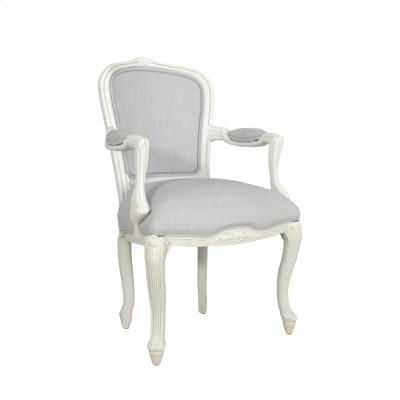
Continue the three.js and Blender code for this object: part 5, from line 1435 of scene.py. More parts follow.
    def husks(self) -> list[Skin]:
        """Scalloped husks that hang one under another."""
        leaves = []
        for top, size in ((375, 1.0), (361, 0.84), (348, 0.7), (336, 0.56)):
            leaves.append(Leaf((0, top), -90, 19 * size, 19 * size, 3.3 * size, 0, 1, 0.7))
            for way in (1, -1):
                leaves.append(Leaf((way * 4 * size, top), -90 + way * 42, 17 * size, 10 * size, 2.7 * size,
                                   -way * 50, 1, 0.6))
        return [leaf.skin(self.onto, 20, 13) for leaf in leaves]


# Arms


@dataclass
class Arms:
    """Arms with their scrolled supports."""

    sizes: ChairSizes
    knuckle: tuple[float, float] = (273.5, -187.0)
    level: float = 700.0
    thick: float = 36.0
    depth: float = 44.0
    tray: tuple[float, float, float] = (60.0, 16.0, 671.0)
    pad_back: float = 77.0
    pad_front: float = -111.0
    support_y: float = -160.0
    support: tuple[float, float] = (38.0, 82.0)
    tray_rise: float = 12.0
    keel: float = 4.0
    turned: float = 16.0
    top: float = 702.0

    @property
    def root(self) -> tuple[float, float]:
        """Where the arm leaves the stile."""
        x = float(self.sizes.stile_x(self.level)) - 10.5
        return x, float(self.sizes.back_y(x, self.level)) + 8.4

    def arm_x(self, y: Values) -> Array:
        """Middle of the arm at a place from front to back."""
        root_x, root_y = self.root
        t = (np.asarray(y, float) - self.knuckle[1]) / (root_y - self.knuckle[1])
        k = self.knuckle[0]
        rows = [[0, k], [0.3, k], [0.5, lerp(root_x, k, 0.95)], [0.7, lerp(root_x, k, 0.76)],
                [0.86, lerp(root_x, k, 0.4)], [1, root_x]]
        return smooth(rows, t)

    def stations(self) -> Array:
        """Sections of the arm from the stile to the knuckle: how far forward, height, width, depth."""
        root_y, w, d = self.root[1], self.thick, self.depth
        tray_w, tray_d, tray_top = self.tray
        tray_d += self.keel
        tray_z = tray_top - tray_d / 2
        back_z, front_z = self.level - d * 0.06, self.top - d / 2
        back, front, ky = self.pad_back, self.pad_front, self.knuckle[1]
        return np.array([
            [root_y, back_z, w * 0.95, d * 1.3],
            [lerp(root_y, back, 0.35), back_z, w * 0.88, d * 1.16],
            [lerp(root_y, back, 0.75), back_z - d * 0.04, w * 0.96, d * 1.1],
            [back + d * 0.22, back_z - d * 0.12, tray_w * 0.68, d * 1.02],
            [back - d * 0.26, tray_z, tray_w * 0.88, tray_d * 1.12],
            [lerp(back, front, 0.3), tray_z, tray_w, tray_d],
            [lerp(back, front, 0.7), tray_z, tray_w, tray_d],
            [front + d * 0.34, tray_z, tray_w * 0.86, tray_d * 1.12],
            [front - d * 0.06, front_z + d * 0.08, w * 1.06, d * 0.78],
            [lerp(front, ky, 0.4), front_z + d * 0.06, w, d * 0.88],
            [lerp(front, ky, 0.8), front_z - d * 0.02, w, d * 0.9],
            [ky - d * 0.14, front_z - d * 0.17, w, d * 0.82],
        ]) * [-1, 1, 1, 1]

    def sweep(self, y: Array) -> Array:
        """How far the tray, and the pad's foot on it, sweeps up towards its ends."""
        away = np.abs(np.asarray(y, float) - (self.pad_back + self.pad_front) / 2)
        return self.tray_rise * ease(22, 98, away)

    def arm(self, bench: Bench, side: Side) -> None:
        """An arm, moulded along its sides, fluted and rolled over at the knuckle."""
        rows = self.stations()
        at = rows[:, 0]
        turn = np.linspace(0, math.pi / 2 * 0.94, 26)
        y = np.r_[np.linspace(at[0], -84, 40)[:-1], np.linspace(-84, -62, 28)[:-1],
                  np.linspace(-62, 96, 70)[:-1], np.linspace(96, 118, 28)[:-1],
                  np.linspace(118, at[-1] - 10, 56)[:-1], at[-1] - 10 * (1 - np.sin(turn))]
        z, width, depth = columns(rows, y)
        end = np.clip((at[-1] - y) / 10, 0, 1)
        taper = (1 - (1 - end) ** 2.4) ** (1 / 2.4)
        root = 9.0 * np.clip(1 - (y - at[0] - 8) / 20, 0, 1) ** 2
        full, depth = width, (depth + root) * taper
        width = width * taper
        y = -y
        slim = 1 - ease(24, 40, depth)
        centre = np.stack([self.arm_x(y), y, z + self.sweep(y) * slim], 1)
        rings = oval_ring(centre, RIGHTWARD, UPWARD, width / 2, depth / 2, 3, 96)
        off = rings - centre[:, None]
        a = np.abs(off[..., 0]) / (width[:, None] / 2)
        up = off[..., 2] / (depth[:, None] / 2)
        sides = ease(0.72, 0.9, a)
        height = -1.5 * sides * bump(up - 0.34, 0.12) - 1.2 * sides * bump(up + 0.42, 0.11)
        height *= 1 - slim[:, None] * 0.35
        height -= 1.1 * ease(0.6, 0.85, up) * (1 - slim)[:, None] * bump(a - 0.56, 0.1)
        height *= ease(0.4, 1.0, end)[:, None]
        flutes = sum(bump(off[..., 0] / (full[:, None] / 2) + place, 0.16) for place in (-0.5, 0, 0.5))
        height -= 1.7 * ease(1.0, 0.55, end)[:, None] * flutes
        bench.piece("arm", [Skin(rings).raised(height), *self.knuckle_leaves()], side=side)

    def on_arm(self, u: Array, v: Array, height: Array) -> Array:
        """A point over the arm's knuckle: run from front to back and distance across, raised."""
        rows = self.stations()
        at = rows[:, 0]
        z, width, depth = columns(rows, np.clip(u, at[0], at[-1]))
        over = np.clip((u - at[-1] + 7) / 7, 0, 2.2)
        a = np.clip(np.abs(v) / (width / 2), 0, 0.97)
        top = depth / 2 * (1 - a**3) ** (1 / 3)
        angle = over * 0.72
        lift = (top + height) * np.cos(angle)
        forward = np.minimum(u, at[-1]) + np.sin(angle) * (top * 0.12 + height)
        return np.stack([self.arm_x(-np.clip(u, at[0], at[-1])) + v, -forward, z + lift], -1)

    def knuckle_leaves(self) -> list[Skin]:
        """Leaves carved over the knuckle."""
        leaves = [
            Leaf((128, 0), 0, 46, 15, 2.2, 0, 4, 0.5),
            Leaf((126, 5), 12, 32, 9, 1.8, -10, 3, 0.4),
            Leaf((126, -5), -12, 32, 9, 1.8, 10, 3, 0.4),
        ]
        return [leaf.skin(self.on_arm, 34, 15) for leaf in leaves]

    @property
    def head(self) -> float:
        """Where the support meets the arm."""
        return self.top - self.depth * 0.6

    def support_rows(self) -> Array:
        """Sections of the support: height, half thickness, half depth, middle in x and in y."""
        foot = float(self.sizes.side_top(self.support_y)) - self.sizes.rebate[1] * 0.4
        head = self.head
        rows = np.array([
            [0, 0.74, 0.46, 0.1, 0.1], [0.08, 0.7, 0.4, 0.16, 0.08], [0.15, 0.71, 0.39, 0.24, 0.05],
            [0.22, 0.95, 0.66, 0.36, -0.1], [0.29, 1.08, 0.9, 0.42, -0.22], [0.36, 1.04, 0.83, 0.4, -0.2],
            [0.42, 0.98, 0.68, 0.38, -0.1], [0.5, 0.8, 0.48, 0.22, 0], [0.58, 0.68, 0.36, 0.1, 0.03],
            [0.69, 0.8, 0.38, 0, 0.04], [0.8, 1, 0.45, -0.01, 0], [0.9, 1.08, 0.5, 0.02, -0.06],
            [0.99, 1.08, 0.53, 0.03, -0.11], [1.015, 1.06, 0.51, 0.03, -0.12],
            [1.035, 1.01, 0.43, 0.03, -0.13],
            [1.052, 0.9, 0.3, 0.03, -0.14], [1.062, 0.62, 0.13, 0.03, -0.15],
        ])
        thick, deep = self.support
        return np.c_[
            foot + rows[:, 0] * (head - foot), thick * rows[:, 1] / 2, deep * rows[:, 2] / 2,
            self.knuckle[0] + (rows[:, 3] - 0.12) * thick, self.support_y + rows[:, 4] * deep,
        ]

    def ways(self, z: Array) -> tuple[Array, Array]:
        """The support's outward and rearward directions, turned outwards towards its head."""
        foot = self.support_rows()[0, 0]
        angle = math.radians(self.turned) * ease(0.3, 0.7, (np.asarray(z) - foot) / (self.head - foot))
        c, d = np.cos(angle), np.sin(angle)
        return np.stack([c, d, 0 * c], -1), np.stack([-d, c, 0 * c], -1)

    def on_support(self, u: Array, v: Array, height: Array, way: int = 1) -> Array:
        """A point on the support's side: y and z, raised off its outer or inner face."""
        thick, deep, x, y = columns(self.support_rows(), v)
        a = np.clip(np.abs(u - y) / deep, 0, 0.985)
        side = thick * (1 - a**3.4) ** (1 / 3.4)
        out, rear = self.ways(v)
        return np.stack([x, y, v], -1) + (way * (side + height))[..., None] * out + (u - y)[..., None] * rear

    def support_piece(self, bench: Bench, side: Side) -> None:
        """A support: a fluted scroll that rises from the side rail to the knuckle."""
        rows = self.support_rows()
        z = np.linspace(rows[0, 0], rows[-1, 0], 190)
        thick, deep, x, y = columns(rows, z)
        centre = np.stack([x, y, z], 1)
        out, rear = self.ways(z)
        off = oval_ring(centre * 0, RIGHTWARD, REARWARD, thick, deep, 3.4, 112)
        rings = centre[:, None] + off[..., :1] * out[:, None] + off[..., 1:2] * rear[:, None]
        eye_y, eye_z = self.support_y - self.support[1] * 0.32, float(lerp(rows[0, 0], self.head, 0.3))
        t = ((z - rows[0, 0]) / (self.head - rows[0, 0]))[:, None]
        along = off[..., 1] / deep[:, None]
        aside = np.abs(off[..., 0]) / thick[:, None]
        flank = ease(0.55, 0.85, aside)
        brow = ease(0.55, 0.85, np.abs(along))
        shaft = ease(0.36, 0.45, t) * (1 - ease(0.9, 0.96, t))
        height = -1.3 * flank * shaft * (bump(along - 0.36, 0.12) + bump(along + 0.2, 0.12))
        front = ease(0.03, 0.08, t) * (1 - ease(1.04, 1.055, t))
        flutes = sum(bump(off[..., 0] / thick[:, None] + place, 0.13) for place in (-0.5, 0, 0.5))
        height -= 2.0 * brow * front * flutes
        away = np.hypot(off[..., 1] + y[:, None] - eye_y, rings[..., 2] - eye_z)
        height -= 1.1 * ease(0.3, 0.6, aside) * ease(17, 13, away)
        skins = [Skin(rings).raised(height)]
        turn = np.linspace(0, 2 * math.pi * 1.6, 90)
        coil = turn / turn[-1]
        radius = lerp(14.5, 4.5, coil)
        leaf = Leaf((self.support_y + 15, eye_z - 50), 100, 52, 15, 3.4, 12, 4, 0.4)
        steps = ((1, -2.5), (1, 1.0), (0.8, 2.4), (0.45, 3.1), (0.08, 3.4))
        for way in (1, -1):
            def onto(u: Array, v: Array, h: Array, way: int = way) -> Array:
                """A point on this flank."""
                return self.on_support(u, v, h, way)

            u, v = eye_y + np.cos(turn + 2.3) * radius, eye_z + np.sin(turn + 2.3) * radius
            skins.append(tube(onto(u, v, np.full_like(u, -0.5)), lerp(2.8, 1.6, coil), 10))
            skins += [boss(onto, (eye_y, eye_z), (5.2, 5.2), steps, 24), leaf.skin(onto)]
        bench.piece("arm_support", skins, side=side)

    def build(self, bench: Bench) -> None:
        """Make both arms and supports."""
        for side in Side:
            self.arm(bench, side)
            self.support_piece(bench, side)


# Upholstery


def swollen(bench: Bench, name: str, skin: Skin, fixed: Array, cap: float) -> Skin:
    """Fill a cover by cloth simulation.

    Args:
        bench: The bench that makes the working mesh.
        name: Name of the working mesh.
        skin: The cover's outer surface.
        fixed: 1 for points held down, 0 for free ones, in the shape of the rings.
        cap: The furthest a point may move, in millimetres.
    """
    thin = 3
    cage, held = skin.rings[:, ::thin], fixed[:, ::thin].ravel()
    work = bench.mesh(name, [Skin(cage, skin.loop)])
    group = work.vertex_groups.new(name="held")
    for k in np.flatnonzero(held > 0.01).tolist():
        group.add([k], float(held[k]), "REPLACE")
    cloth = work.modifiers.new("filling", "CLOTH")
    for key, value in {
        "use_pressure": True, "uniform_pressure_force": 4.0, "vertex_group_mass": "held", "quality": 6,
        "tension_stiffness": 25, "shear_stiffness": 12, "bending_stiffness": 1.5,
    }.items():
        setattr(cloth.settings, key, value)
    cloth.settings.effector_weights.gravity = 0
    cloth.collision_settings.use_collision = False
    scene, frames = bpy.context.scene, 20
    cloth.point_cache.frame_start, cloth.point_cache.frame_end = 1, frames
    for number in range(1, frames + 1):
        scene.frame_set(number)
    shown = work.evaluated_get(bpy.context.evaluated_depsgraph_get())
    moved = read(shown.data.vertices, "co", 3)[:held.size].reshape(cage.shape) / MM
    moved = moved - [0, bench.shift, 0]
    step = moved - cage
    size = np.linalg.norm(step, axis=-1, keepdims=True)
    step *= np.minimum(1, cap / np.maximum(size, 1e-6))
    step = np.roll(np.repeat(step, thin, 1), -(thin // 2), 1)
    for _ in range(160):
        step = 0.25 * np.roll(step, 1, 1) + 0.5 * step + 0.25 * np.roll(step, -1, 1)
    for _ in range(6):
        step[1:-1] = 0.25 * step[:-2] + 0.5 * step[1:-1] + 0.25 * step[2:]
    step *= (1 - fixed)[..., None]
    scene.frame_set(1)
    bpy.data.objects.remove(work)
    LOG.info("%s: filled, largest move %.1f mm", name, float(size.max()))
    return Skin(skin.rings + step, skin.loop, skin.cloth)


@dataclass
class SeatUpholstery:
    """The seat's cover and its twin welts."""

    sizes: ChairSizes
    arms: "Arms"
    side_height: float = 42.0
    crown: float = 546.0
    back_fall: float = 0.3
    skirt: float = 9.0
    middle_y: float = -70.35
    corner: tuple[float, float] = (285.0, -262.0)
    reach: float = 8.5
    points: int = 420
    welt_back: float = -181.0

    def outline(self) -> tuple[Array, Array]:
        """Even points round the plan and their outward directions."""
        even = evenly_round(self.sizes.seat_line(), self.points)
        outward = outward_of(even)
        return even + outward * (self.reach * np.exp(-((self.off_corner(even) / 34) ** 2)))[:, None], outward

    def off_corner(self, line: Array) -> Array:
        """Distance from the seat's front corners."""
        return np.hypot(np.abs(line[:, 0]) - self.corner[0], line[:, 1] - self.corner[1])

    def skirt_level(self, line: Array) -> Array:
        """Height of the cover's lower edge over the welt, and on the back rail."""
        size = self.sizes
        over = size.rim(line) + 2 * size.welt * (1 - np.exp(-((self.off_corner(line) / 38) ** 2))) + 0.6
        between = ease(size.stile_face_y - 2, size.stile_face_y + 8, line[:, 1])
        return lerp(over, size.deck(line[:, 1]) + 0.4, between)

    def clear(self, plan: Array, z: Array) -> Array:
        """The cover drawn in round the posts and the arm supports."""
        size = self.sizes
        post_x, post_y = float(size.stile_x(430)), size.stile_face_y
        inside = post_x - size.stile_face - 4
        for sign in (1, -1):
            x, y = plan[..., 0] * sign, plan[..., 1]
            depth = ease(post_y - 16, post_y - 3, y)
            x = np.where(x > 0, x - depth * np.maximum(x - inside, 0), x)
            plan = np.stack([x * sign, y], -1)
        thick, deep, middle, along = columns(self.arms.support_rows(), z)
        support = ease(deep + 15, deep + 5, np.abs(plan[..., 1] - along))
        over = np.maximum(np.abs(plan[..., 0]) - (middle - thick - 0.8), 0)
        x = plan[..., 0] - np.sign(plan[..., 0]) * over * support
        return np.stack([x, plan[..., 1]], -1)

    def surface(self) -> Skin:
        """The outer surface, from the lower edge over the crown to the middle."""
        line, outward = self.outline()
        size = self.sizes
        skirt = self.skirt_level(line)
        back = np.clip((line[:, 1] - size.seat_front) / size.seat_depth, 0, None)
        shoulder = size.seat_level + self.side_height * (1 + 0.42 * back)
        rows = np.array([
            [0, 0.12, 1, 0], [0.12, -0.28, 1, 0.2], [0.26, -0.6, 1, 0.45], [0.42, -0.42, 1, 0.8],
            [0.5, -0.02, 1, 1], [0.58, 0.75, 1, 1.15], [0.66, 1.75, 1, 1.29], [0.74, 2.9, 0.965, 1.45],
            [0.8, 2.9, 0.9, 1.62], [0.88, 2.9, 0.72, 1.85], [0.94, 2.9, 0.46, 1.96], [1, 2.9, 0.02, 2],
        ])
        along = np.r_[np.linspace(0, 0.5, 22)[:-1], np.linspace(0.5, 0.8, 30)[:-1], np.linspace(0.8, 1, 54)]
        inset, share, level = (part[:, None] for part in columns(rows, along))
        plan = line[None] - outward[None] * (inset * self.skirt)[..., None]
        middle = np.array([0, self.middle_y])
        worn = (np.clip(inset[:, 0] - 0.4, 0, 2.5) * 44).astype(int)
        by_post = ease(size.stile_face_y - 75, size.stile_face_y - 35, line[:, 1])[:, None]
        plan = middle + np.array([
            drawn_in(lerp(rounded(ring, times), ring, by_post) - middle, float(part))
            for ring, part, times in zip(plan, share, worn)
        ])
        low, high = np.minimum(level, 1), np.maximum(level - 1, 0)
        high = high * (1 - self.back_fall * ease(70, size.stile_face_y + 50, plan[..., 1]))
        z = lerp(skirt[None] + (shoulder - skirt)[None] * low, self.crown, high)
        plan = self.clear(plan, z)
        seam = lengths_along(np.c_[inset[:, 0] * self.skirt, z[:, 0]])
        cloth = plan + outward[None] * np.maximum(seam[49] - seam, 0)[:, None, None]
        return Skin(np.concatenate([plan, z[..., None]], -1), False, cloth)

    def cover(self, bench: Bench) -> None:
        """The cover, filled, puckered lightly at its lower edge and closed underneath."""
        outer = self.surface()
        rings = outer.rings
        level = np.arange(len(rings))[:, None] / len(rings)
        near_post = ease(self.sizes.stile_face_y - 34, self.sizes.stile_face_y - 8, rings[..., 1])
        near_support = ease(60, 42, np.abs(rings[..., 1] + 172)) * ease(225, 245, np.abs(rings[..., 0]))
        held = np.maximum(ease(0.13, 0.03, level), np.maximum(near_post, near_support))
        outer = swollen(bench, "seat_filling", outer, np.clip(held, 0, 1), 9.0)
        rng = np.random.default_rng(7)
        at, tug = np.arange(self.points), np.zeros(self.points)
        for place in rng.uniform(0, self.points, 70):
            gap = np.minimum(np.abs(at - place), self.points - np.abs(at - place))
            tug += rng.uniform(0.25, 0.8) * np.exp(-((gap / 1.6) ** 2))
        outer = outer.raised(-(ease(0.2, 0.03, level) * tug[None]) * 0.55)
        inner = outer.rings[:24][::-1].copy()
        centre = np.array([0, self.middle_y])
        inner[..., :2] += unit(centre - inner[..., :2]) * 7.0
        inner[..., 2] += 0.3
        floor = np.repeat(inner[:1], 2, 0)
        floor[..., :2] = centre + (floor[..., :2] - centre) * np.array([0.02, 0.5])[:, None, None]
        shell = np.concatenate([floor, inner, outer.rings])
        cloth = np.concatenate([np.repeat(outer.cloth[:1], len(floor) + len(inner), 0), outer.cloth])
        made = bench.piece("seat_cover", [Skin(shell, False, cloth)], Slot.LINEN, 14.0, 60, ["seat_foam"])

    def welts(self, bench: Bench) -> None:
        """Twin cords along the foot of the cover, front and sides."""
        line, outward = self.outline()
        size = self.sizes
        inset = size.rail_inset + size.rebate[0] - size.welt / 2 - 0.6
        base = size.rim(line)
        x, y = line.T
        sides = (y > -138) & (y < size.stile_face_y - 1.0)
        for end, keep in (
            ("front", y < self.welt_back), ("side_right", sides & (x > 0)), ("side_left", sides & (x < 0)),
        ):
            index = np.flatnonzero(keep)
            if end == "front":
                index = np.r_[index[index > self.points // 2], index[index <= self.points // 2]]
            cords = []
            for up in (0.5, 1.5):
                path = np.c_[line[index] - outward[index] * inset, base[index] + size.welt * up + 0.2]
                cords.append(tube(resample(path, int(len(path) * 1.6)), size.welt / 2, 14))
            bench.piece(f"seat_welt_{end}", cords, Slot.WELT, 2.0, 80)

    def build(self, bench: Bench) -> None:
        """Make the seat's soft pieces."""
        self.cover(bench)
        self.welts(bench)


@dataclass
class BackUpholstery:
    """The back panel, its twin welt and the cloth on its outside."""

    back: BackFrame
    pad_seat: float = 9.0
    crown: float = 16.0
    middle_z: float = 742.0
    outer_depth: float = 21.6
    points: int = 459

    def outline(self) -> tuple[Array, Array]:
        """Even points round the opening in x and z, and their inward directions."""
        size = self.back.sizes
        _, crest = self.back.crest_lines(241)
        z = np.linspace(size.lower_top + size.corner_rise, size.shoulder, 60)
        right = np.stack([size.stile_x(z) - size.stile_face, z], 1)[:-1]
        half = self.back.lower_half
        x = np.linspace(-0.965, 0.965, 120) * half
        bottom = np.stack([x, self.back.lower_edge(x, half)], 1)
        ring = np.vstack([bottom, right, crest, (right * [-1, 1])[::-1]])
        even = rounded(evenly_round(ring, self.points), 3)
        return even, -outward_of(even)

    def ring(self, inset: float, share: float, deep: float) -> Array:
        """One ring of the panel: inset, drawn to the middle, at a depth behind the face."""
        line, inward = self.outline()
        middle = np.array([0, self.middle_z])
        flat = middle + drawn_in(line + inward * inset - middle, share)
        return np.stack([flat[:, 0], self.back.sizes.back_y(flat[:, 0], flat[:, 1]) + deep, flat[:, 1]], 1)

    def cover(self, bench: Bench) -> None:
        """The padded panel: crowned over its filling, tucked behind the welt."""
        rows = np.array([
            [0, 0.06, 1, 0], [0.12, 0.7, 1, 0], [0.2, 1.06, 1, 0.02], [0.27, 1.25, 1, 0.22],
            [0.35, 1.6, 1, 0.44], [0.44, 2.1, 0.99, 0.62], [0.54, 2.6, 0.955, 0.77], [0.7, 2.6, 0.83, 0.91],
            [0.84, 2.6, 0.6, 0.975], [1, 2.6, 0.02, 1],
        ])
        along = np.r_[np.linspace(0, 0.5, 34)[:-1], np.linspace(0.5, 1, 56)]
        rings = np.array([
            self.ring(inset * 10, share, lerp(self.pad_seat, -self.crown, level))
            for inset, share, level in zip(*columns(rows, along))
        ])
        outer = Skin(rings, False, rings[..., [0, 2]])
        held = np.broadcast_to(ease(0.36, 0.26, along)[:, None], rings.shape[:2])
        outer = swollen(bench, "back_filling", outer, held, 7.0)
        rear = outer.rings[:20][::-1].copy()
        rear[..., 1] = self.back.sizes.back_y(rear[..., 0], rear[..., 2]) + self.pad_seat + 8.5
        rear = np.concatenate([self.shrunk(rear[:1], 0.02), self.shrunk(rear[:1], 0.5), rear])
        cloth = np.concatenate([rear[..., [0, 2]], outer.cloth])
        skin = Skin(np.concatenate([rear, outer.rings]), False, cloth)
        made = bench.piece("back_cover", [skin], Slot.LINEN, 14.0, 60, ["back_foam"])

    def shrunk(self, ring: Array, share: float) -> Array:
        """A ring drawn towards the middle of the back."""
        x, z = ring[..., 0] * share, lerp(self.middle_z, ring[..., 2], share)
        deep = ring[..., 1] - self.back.sizes.back_y(ring[..., 0], ring[..., 2])
        return np.stack([x, self.back.sizes.back_y(x, z) + deep, z], -1)

    def welt(self, bench: Bench) -> None:
        """Twin cords round the panel."""
        radius = self.back.sizes.welt / 2
        cords = []
        for inset in (0.3 + radius, 0.3 + 3 * radius):
            path = self.ring(inset, 1, self.pad_seat - 0.3 - radius - 1.2)
            cords.append(tube(resample(path, 620, closed=True), radius, 14, loop=True))
        bench.piece("back_welt", cords, Slot.WELT, 2.0, 80)

    def outer_cover(self, bench: Bench) -> None:
        """The cloth on the outside of the back, a little puffed."""
        shares = [1, 0.985, 0.95, 0.9, 0.8, 0.65, 0.5, 0.35, 0.2, 0.02]
        inner = [self.ring(0.8, share, self.outer_depth) for share in shares[::-1]]
        puffed = [self.ring(0.8, share, self.outer_depth + 1.5 + 1.6 * (1 - share**8)) for share in shares]
        rings = np.array([*inner, *puffed])
        flat = rings[..., [0, 2]]
        made = bench.piece("back_outer_cover", [Skin(rings, False, flat)], Slot.LINEN, 10.0, 60,
                           ["back_hessian"])
        bench.stretch(made, flat, self.outline()[0], ["crest_rail", "back_lower_rail"])

    def build(self, bench: Bench) -> None:
        """Make the back's soft pieces."""
        self.cover(bench)
        self.welt(bench)
        self.outer_cover(bench)


@dataclass
class ArmPads:
    """Padded covers on the arms, with their twin welts."""

    arms: Arms
    length: float = 188.0
    width: float = 58.0
    height: float = 49.0
    middle: float = -17.0
    base: float = 671.3
    points: int = 150

    def ring(self, share: float, margin: float, up: float, flat: float = 1.0) -> Array:
        """One ring of the pad over the arm's curved line.

        Args:
            share: How much of the plan it takes in.
            margin: How far it stands outside that, in millimetres.
            up: Height over the tray.
            flat: How much of the tray's upward sweep at both ends it keeps.

        Returns:
            The ring's points.
        """
        angle = circle(self.points)
        x, y = (signed_power(way(angle), 0.75) for way in (np.cos, np.sin))
        y = self.middle + y * ((self.length / 2 - 5) * share + margin)
        x = self.arms.arm_x(y) + x * ((self.width / 2 - 5) * share + margin)
        return np.stack([x, y, self.base + up + self.arms.sweep(y) * flat], 1)

    def pad(self, bench: Bench) -> Skin:
        """The right-hand pad, filled: a bolster drawn down behind its welt."""
        rows = np.array([
            [0, 1, 0, 0], [0.1, 1, 0.0, 0.11], [0.2, 1, 0.05, 0.2], [0.3, 1, 0.55, 0.3], [0.4, 1, 0.8, 0.42],
            [0.5, 0.995, 0.66, 0.56], [0.6, 0.96, 0.3, 0.71], [0.7, 0.87, 0.0, 0.84], [0.8, 0.7, 0, 0.935],
            [0.9, 0.4, 0, 0.985], [1, 0.02, 0, 1],
        ])
        along = np.linspace(0, 1, 64)
        rings = np.array([
            self.ring(share, out * 5, up * self.height, 1 - 1.25 * float(ease(0.1, 1, up)))
            for share, out, up in zip(*columns(rows, along))
        ])
        fall = np.r_[0, np.cumsum(np.linalg.norm(np.diff(rings, axis=0), axis=-1).max(1))]
        spread = unit(rings[..., :2] - rings.mean(1, keepdims=True)[..., :2])
        cloth = rings[..., :2] + spread * np.maximum(fall[40] - fall, 0)[:, None, None]
        held = np.broadcast_to(ease(0.3, 0.18, along)[:, None], rings.shape[:2])
        return swollen(bench, "arm_filling", Skin(rings, False, cloth), held, 4.0)

    def build(self, bench: Bench) -> None:
        """Make both pads and their welts."""
        pad, size = self.pad(bench), self.arms.sizes
        cords = [
            tube(resample(self.ring(1, 2.8, up * size.welt), 300, closed=True), size.welt / 2, 14, loop=True)
            for up in (0.5, 1.5)
        ]
        for side in Side:
            made = bench.piece("arm_pad_cover", [pad], Slot.LINEN, 8.0, 70, ["arm_pad_foam"], side)
            bench.piece("arm_pad_welt", cords, Slot.WELT, 2.0, 80, side=side)


@dataclass
class Underside:
    """What shows from below and lies inside: webbing, hessian, dust cover, blocks, screws, glides."""

    sizes: ChairSizes
    middle_y: float = -70.0
    web: tuple[float, float] = (50.0, 1.5)
    lining_drop: float = 36.0
    rails: tuple[str, ...] = (
        "seat_front_rail", "seat_side_rail_right", "seat_side_rail_left", "seat_back_rail",
    )
    carried: tuple[tuple[Slot, str], ...] = (
        (Slot.BARE, "corner_block"), (Slot.STEEL, "corner_screw"), (Slot.NYLON, "glide"),
    )

    def outline(self, inset: float, back_inset: float, legs: float) -> Array:
        """Points round the seat's frame, drawn in from its plan and round the legs.

        Args:
            inset: How far inside the seat's outline, in millimetres.
            back_inset: How far before the back rail's middle line it ends.
            legs: Distance that it keeps from the middles of the legs.

        Returns:
            The closed line in x and y.
        """
        size = self.sizes
        line = size.seat_line()[::5]
        even = line - outward_of(line) * inset
        rail = size.back_y(even[:, 0], size.seat_level) + size.post_depth * 0.45 - back_inset
        even[:, 1] = np.minimum(even[:, 1], rail)
        for foot in (size.front_foot, size.back_foot):
            for sign in (1, -1):
                spoke = even - np.array([sign * foot[0], foot[1]])
                far = np.linalg.norm(spoke, axis=1, keepdims=True)
                inward = np.array([-sign * 0.5, -np.sign(foot[1]) * 0.5])
                even = even + inward * np.maximum(0, legs - far)
        return rounded(even, 3)

    def cloth(self, bench: Bench, node: str, slot: Slot, line: Array, lift: float, sag: float,
              tucks: float) -> None:
        """A sheet tacked along its edges under or over the rails.

        Args:
            bench: The bench that makes it.
            node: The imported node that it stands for.
            slot: Its finish.
            line: Its edge in x and y.
            lift: Height over the leaning deck.
            sag: How far its middle hangs.
            tucks: Depth of the tucks between its tacks.
        """
        middle = np.array([0, self.middle_y])
        at = np.arange(len(line))
        pull = np.sin(at * 2 * math.pi / 10) * tucks
        rows = []
        for share in (1, 0.985, 0.96, 0.93, 0.88, 0.8, 0.65, 0.5, 0.3, 0.02):
            plan = middle + (line - middle) * share
            z = self.sizes.deck(plan[:, 1]) + lift - sag * (1 - share**4) + pull * share**12
            rows.append(np.c_[plan, z])
        rings = np.concatenate([np.array(rows)[::-1] + [0, 0, 0.8], np.array(rows)])
        made = bench.piece(node, [Skin(rings)], slot, 10.0, 60)
        bench.stretch(made, line, line, self.rails)

    def webbing(self, bench: Bench) -> None:
        """Straps from front to back and from side to side, woven over and under each other."""
        size = self.sizes
        wide, thick = self.web
        straps = []
        for i in (-1, 0, 1):
            x = i * 2 * wide
            front = float(size.front_edge(abs(x) + wide / 2)) + 13
            back = float(size.back_y(abs(x) + wide / 2, size.seat_level)) + size.post_depth * 0.45 - 9
            y = np.linspace(front, back, 120)
            straps.append(self.strap(np.c_[np.full_like(y, x), y], RIGHTWARD[:2], y - self.middle_y, i))
            y = self.middle_y + i * 2 * wide
            half = float(size.side_edge(y + wide / 2)) - 13
            x = np.linspace(-half, half, 120)
            straps.append(self.strap(np.c_[x, np.full_like(x, y)], REARWARD[:2], x, i + 1))
        bench.piece("seat_webbing", straps, Slot.JUTE, 3.0, 60)
        LOG.info("seat_webbing: straps %.0f mm wide and %.1f mm thick", wide, thick)

    def strap(self, path: Array, aside: Array, along: Array, phase: int) -> Skin:
        """One strap with rounded selvedges, waved over and under those that cross it."""
        wide, thick = self.web
        wave = 0.8 * np.cos((along / (2 * wide) + phase) * math.pi)
        section = np.array([[-1, 0], [-0.97, 0.9], [-0.4, 1], [0.4, 1], [0.97, 0.9], [1, 0],
                            [0.97, -0.9], [0.4, -1], [-0.4, -1], [-0.97, -0.9]])
        plan = path[:, None] + aside * section[None, :, :1] * wide / 2
        z = self.sizes.deck(plan[..., 1]) + 1.1 + wave[:, None] + section[None, :, 1] * thick / 2
        return Skin(np.concatenate([plan, z[..., None]], -1))

    def build(self, bench: Bench) -> None:
        """Make the hidden cloths and dress the carried-over nodes."""
        for slot, stem in self.carried:
            for end in ("front", "back"):
                for side in Side:
                    bench.dress(f"{stem}_{end}_{side.word}", slot)
        size = self.sizes
        inside = self.outline(size.rail_inset + size.rail_thick + 0.5, 12.5, 36)
        self.cloth(bench, "dust_cover", Slot.LINING, inside, -self.lining_drop, 2.5, 0.7)
        over = self.outline(9.5, 4.0, 20)
        self.cloth(bench, "seat_hessian", Slot.JUTE, over, self.web[1] + 1.2, 0.0, 0.2)
        self.webbing(bench)


# Studio


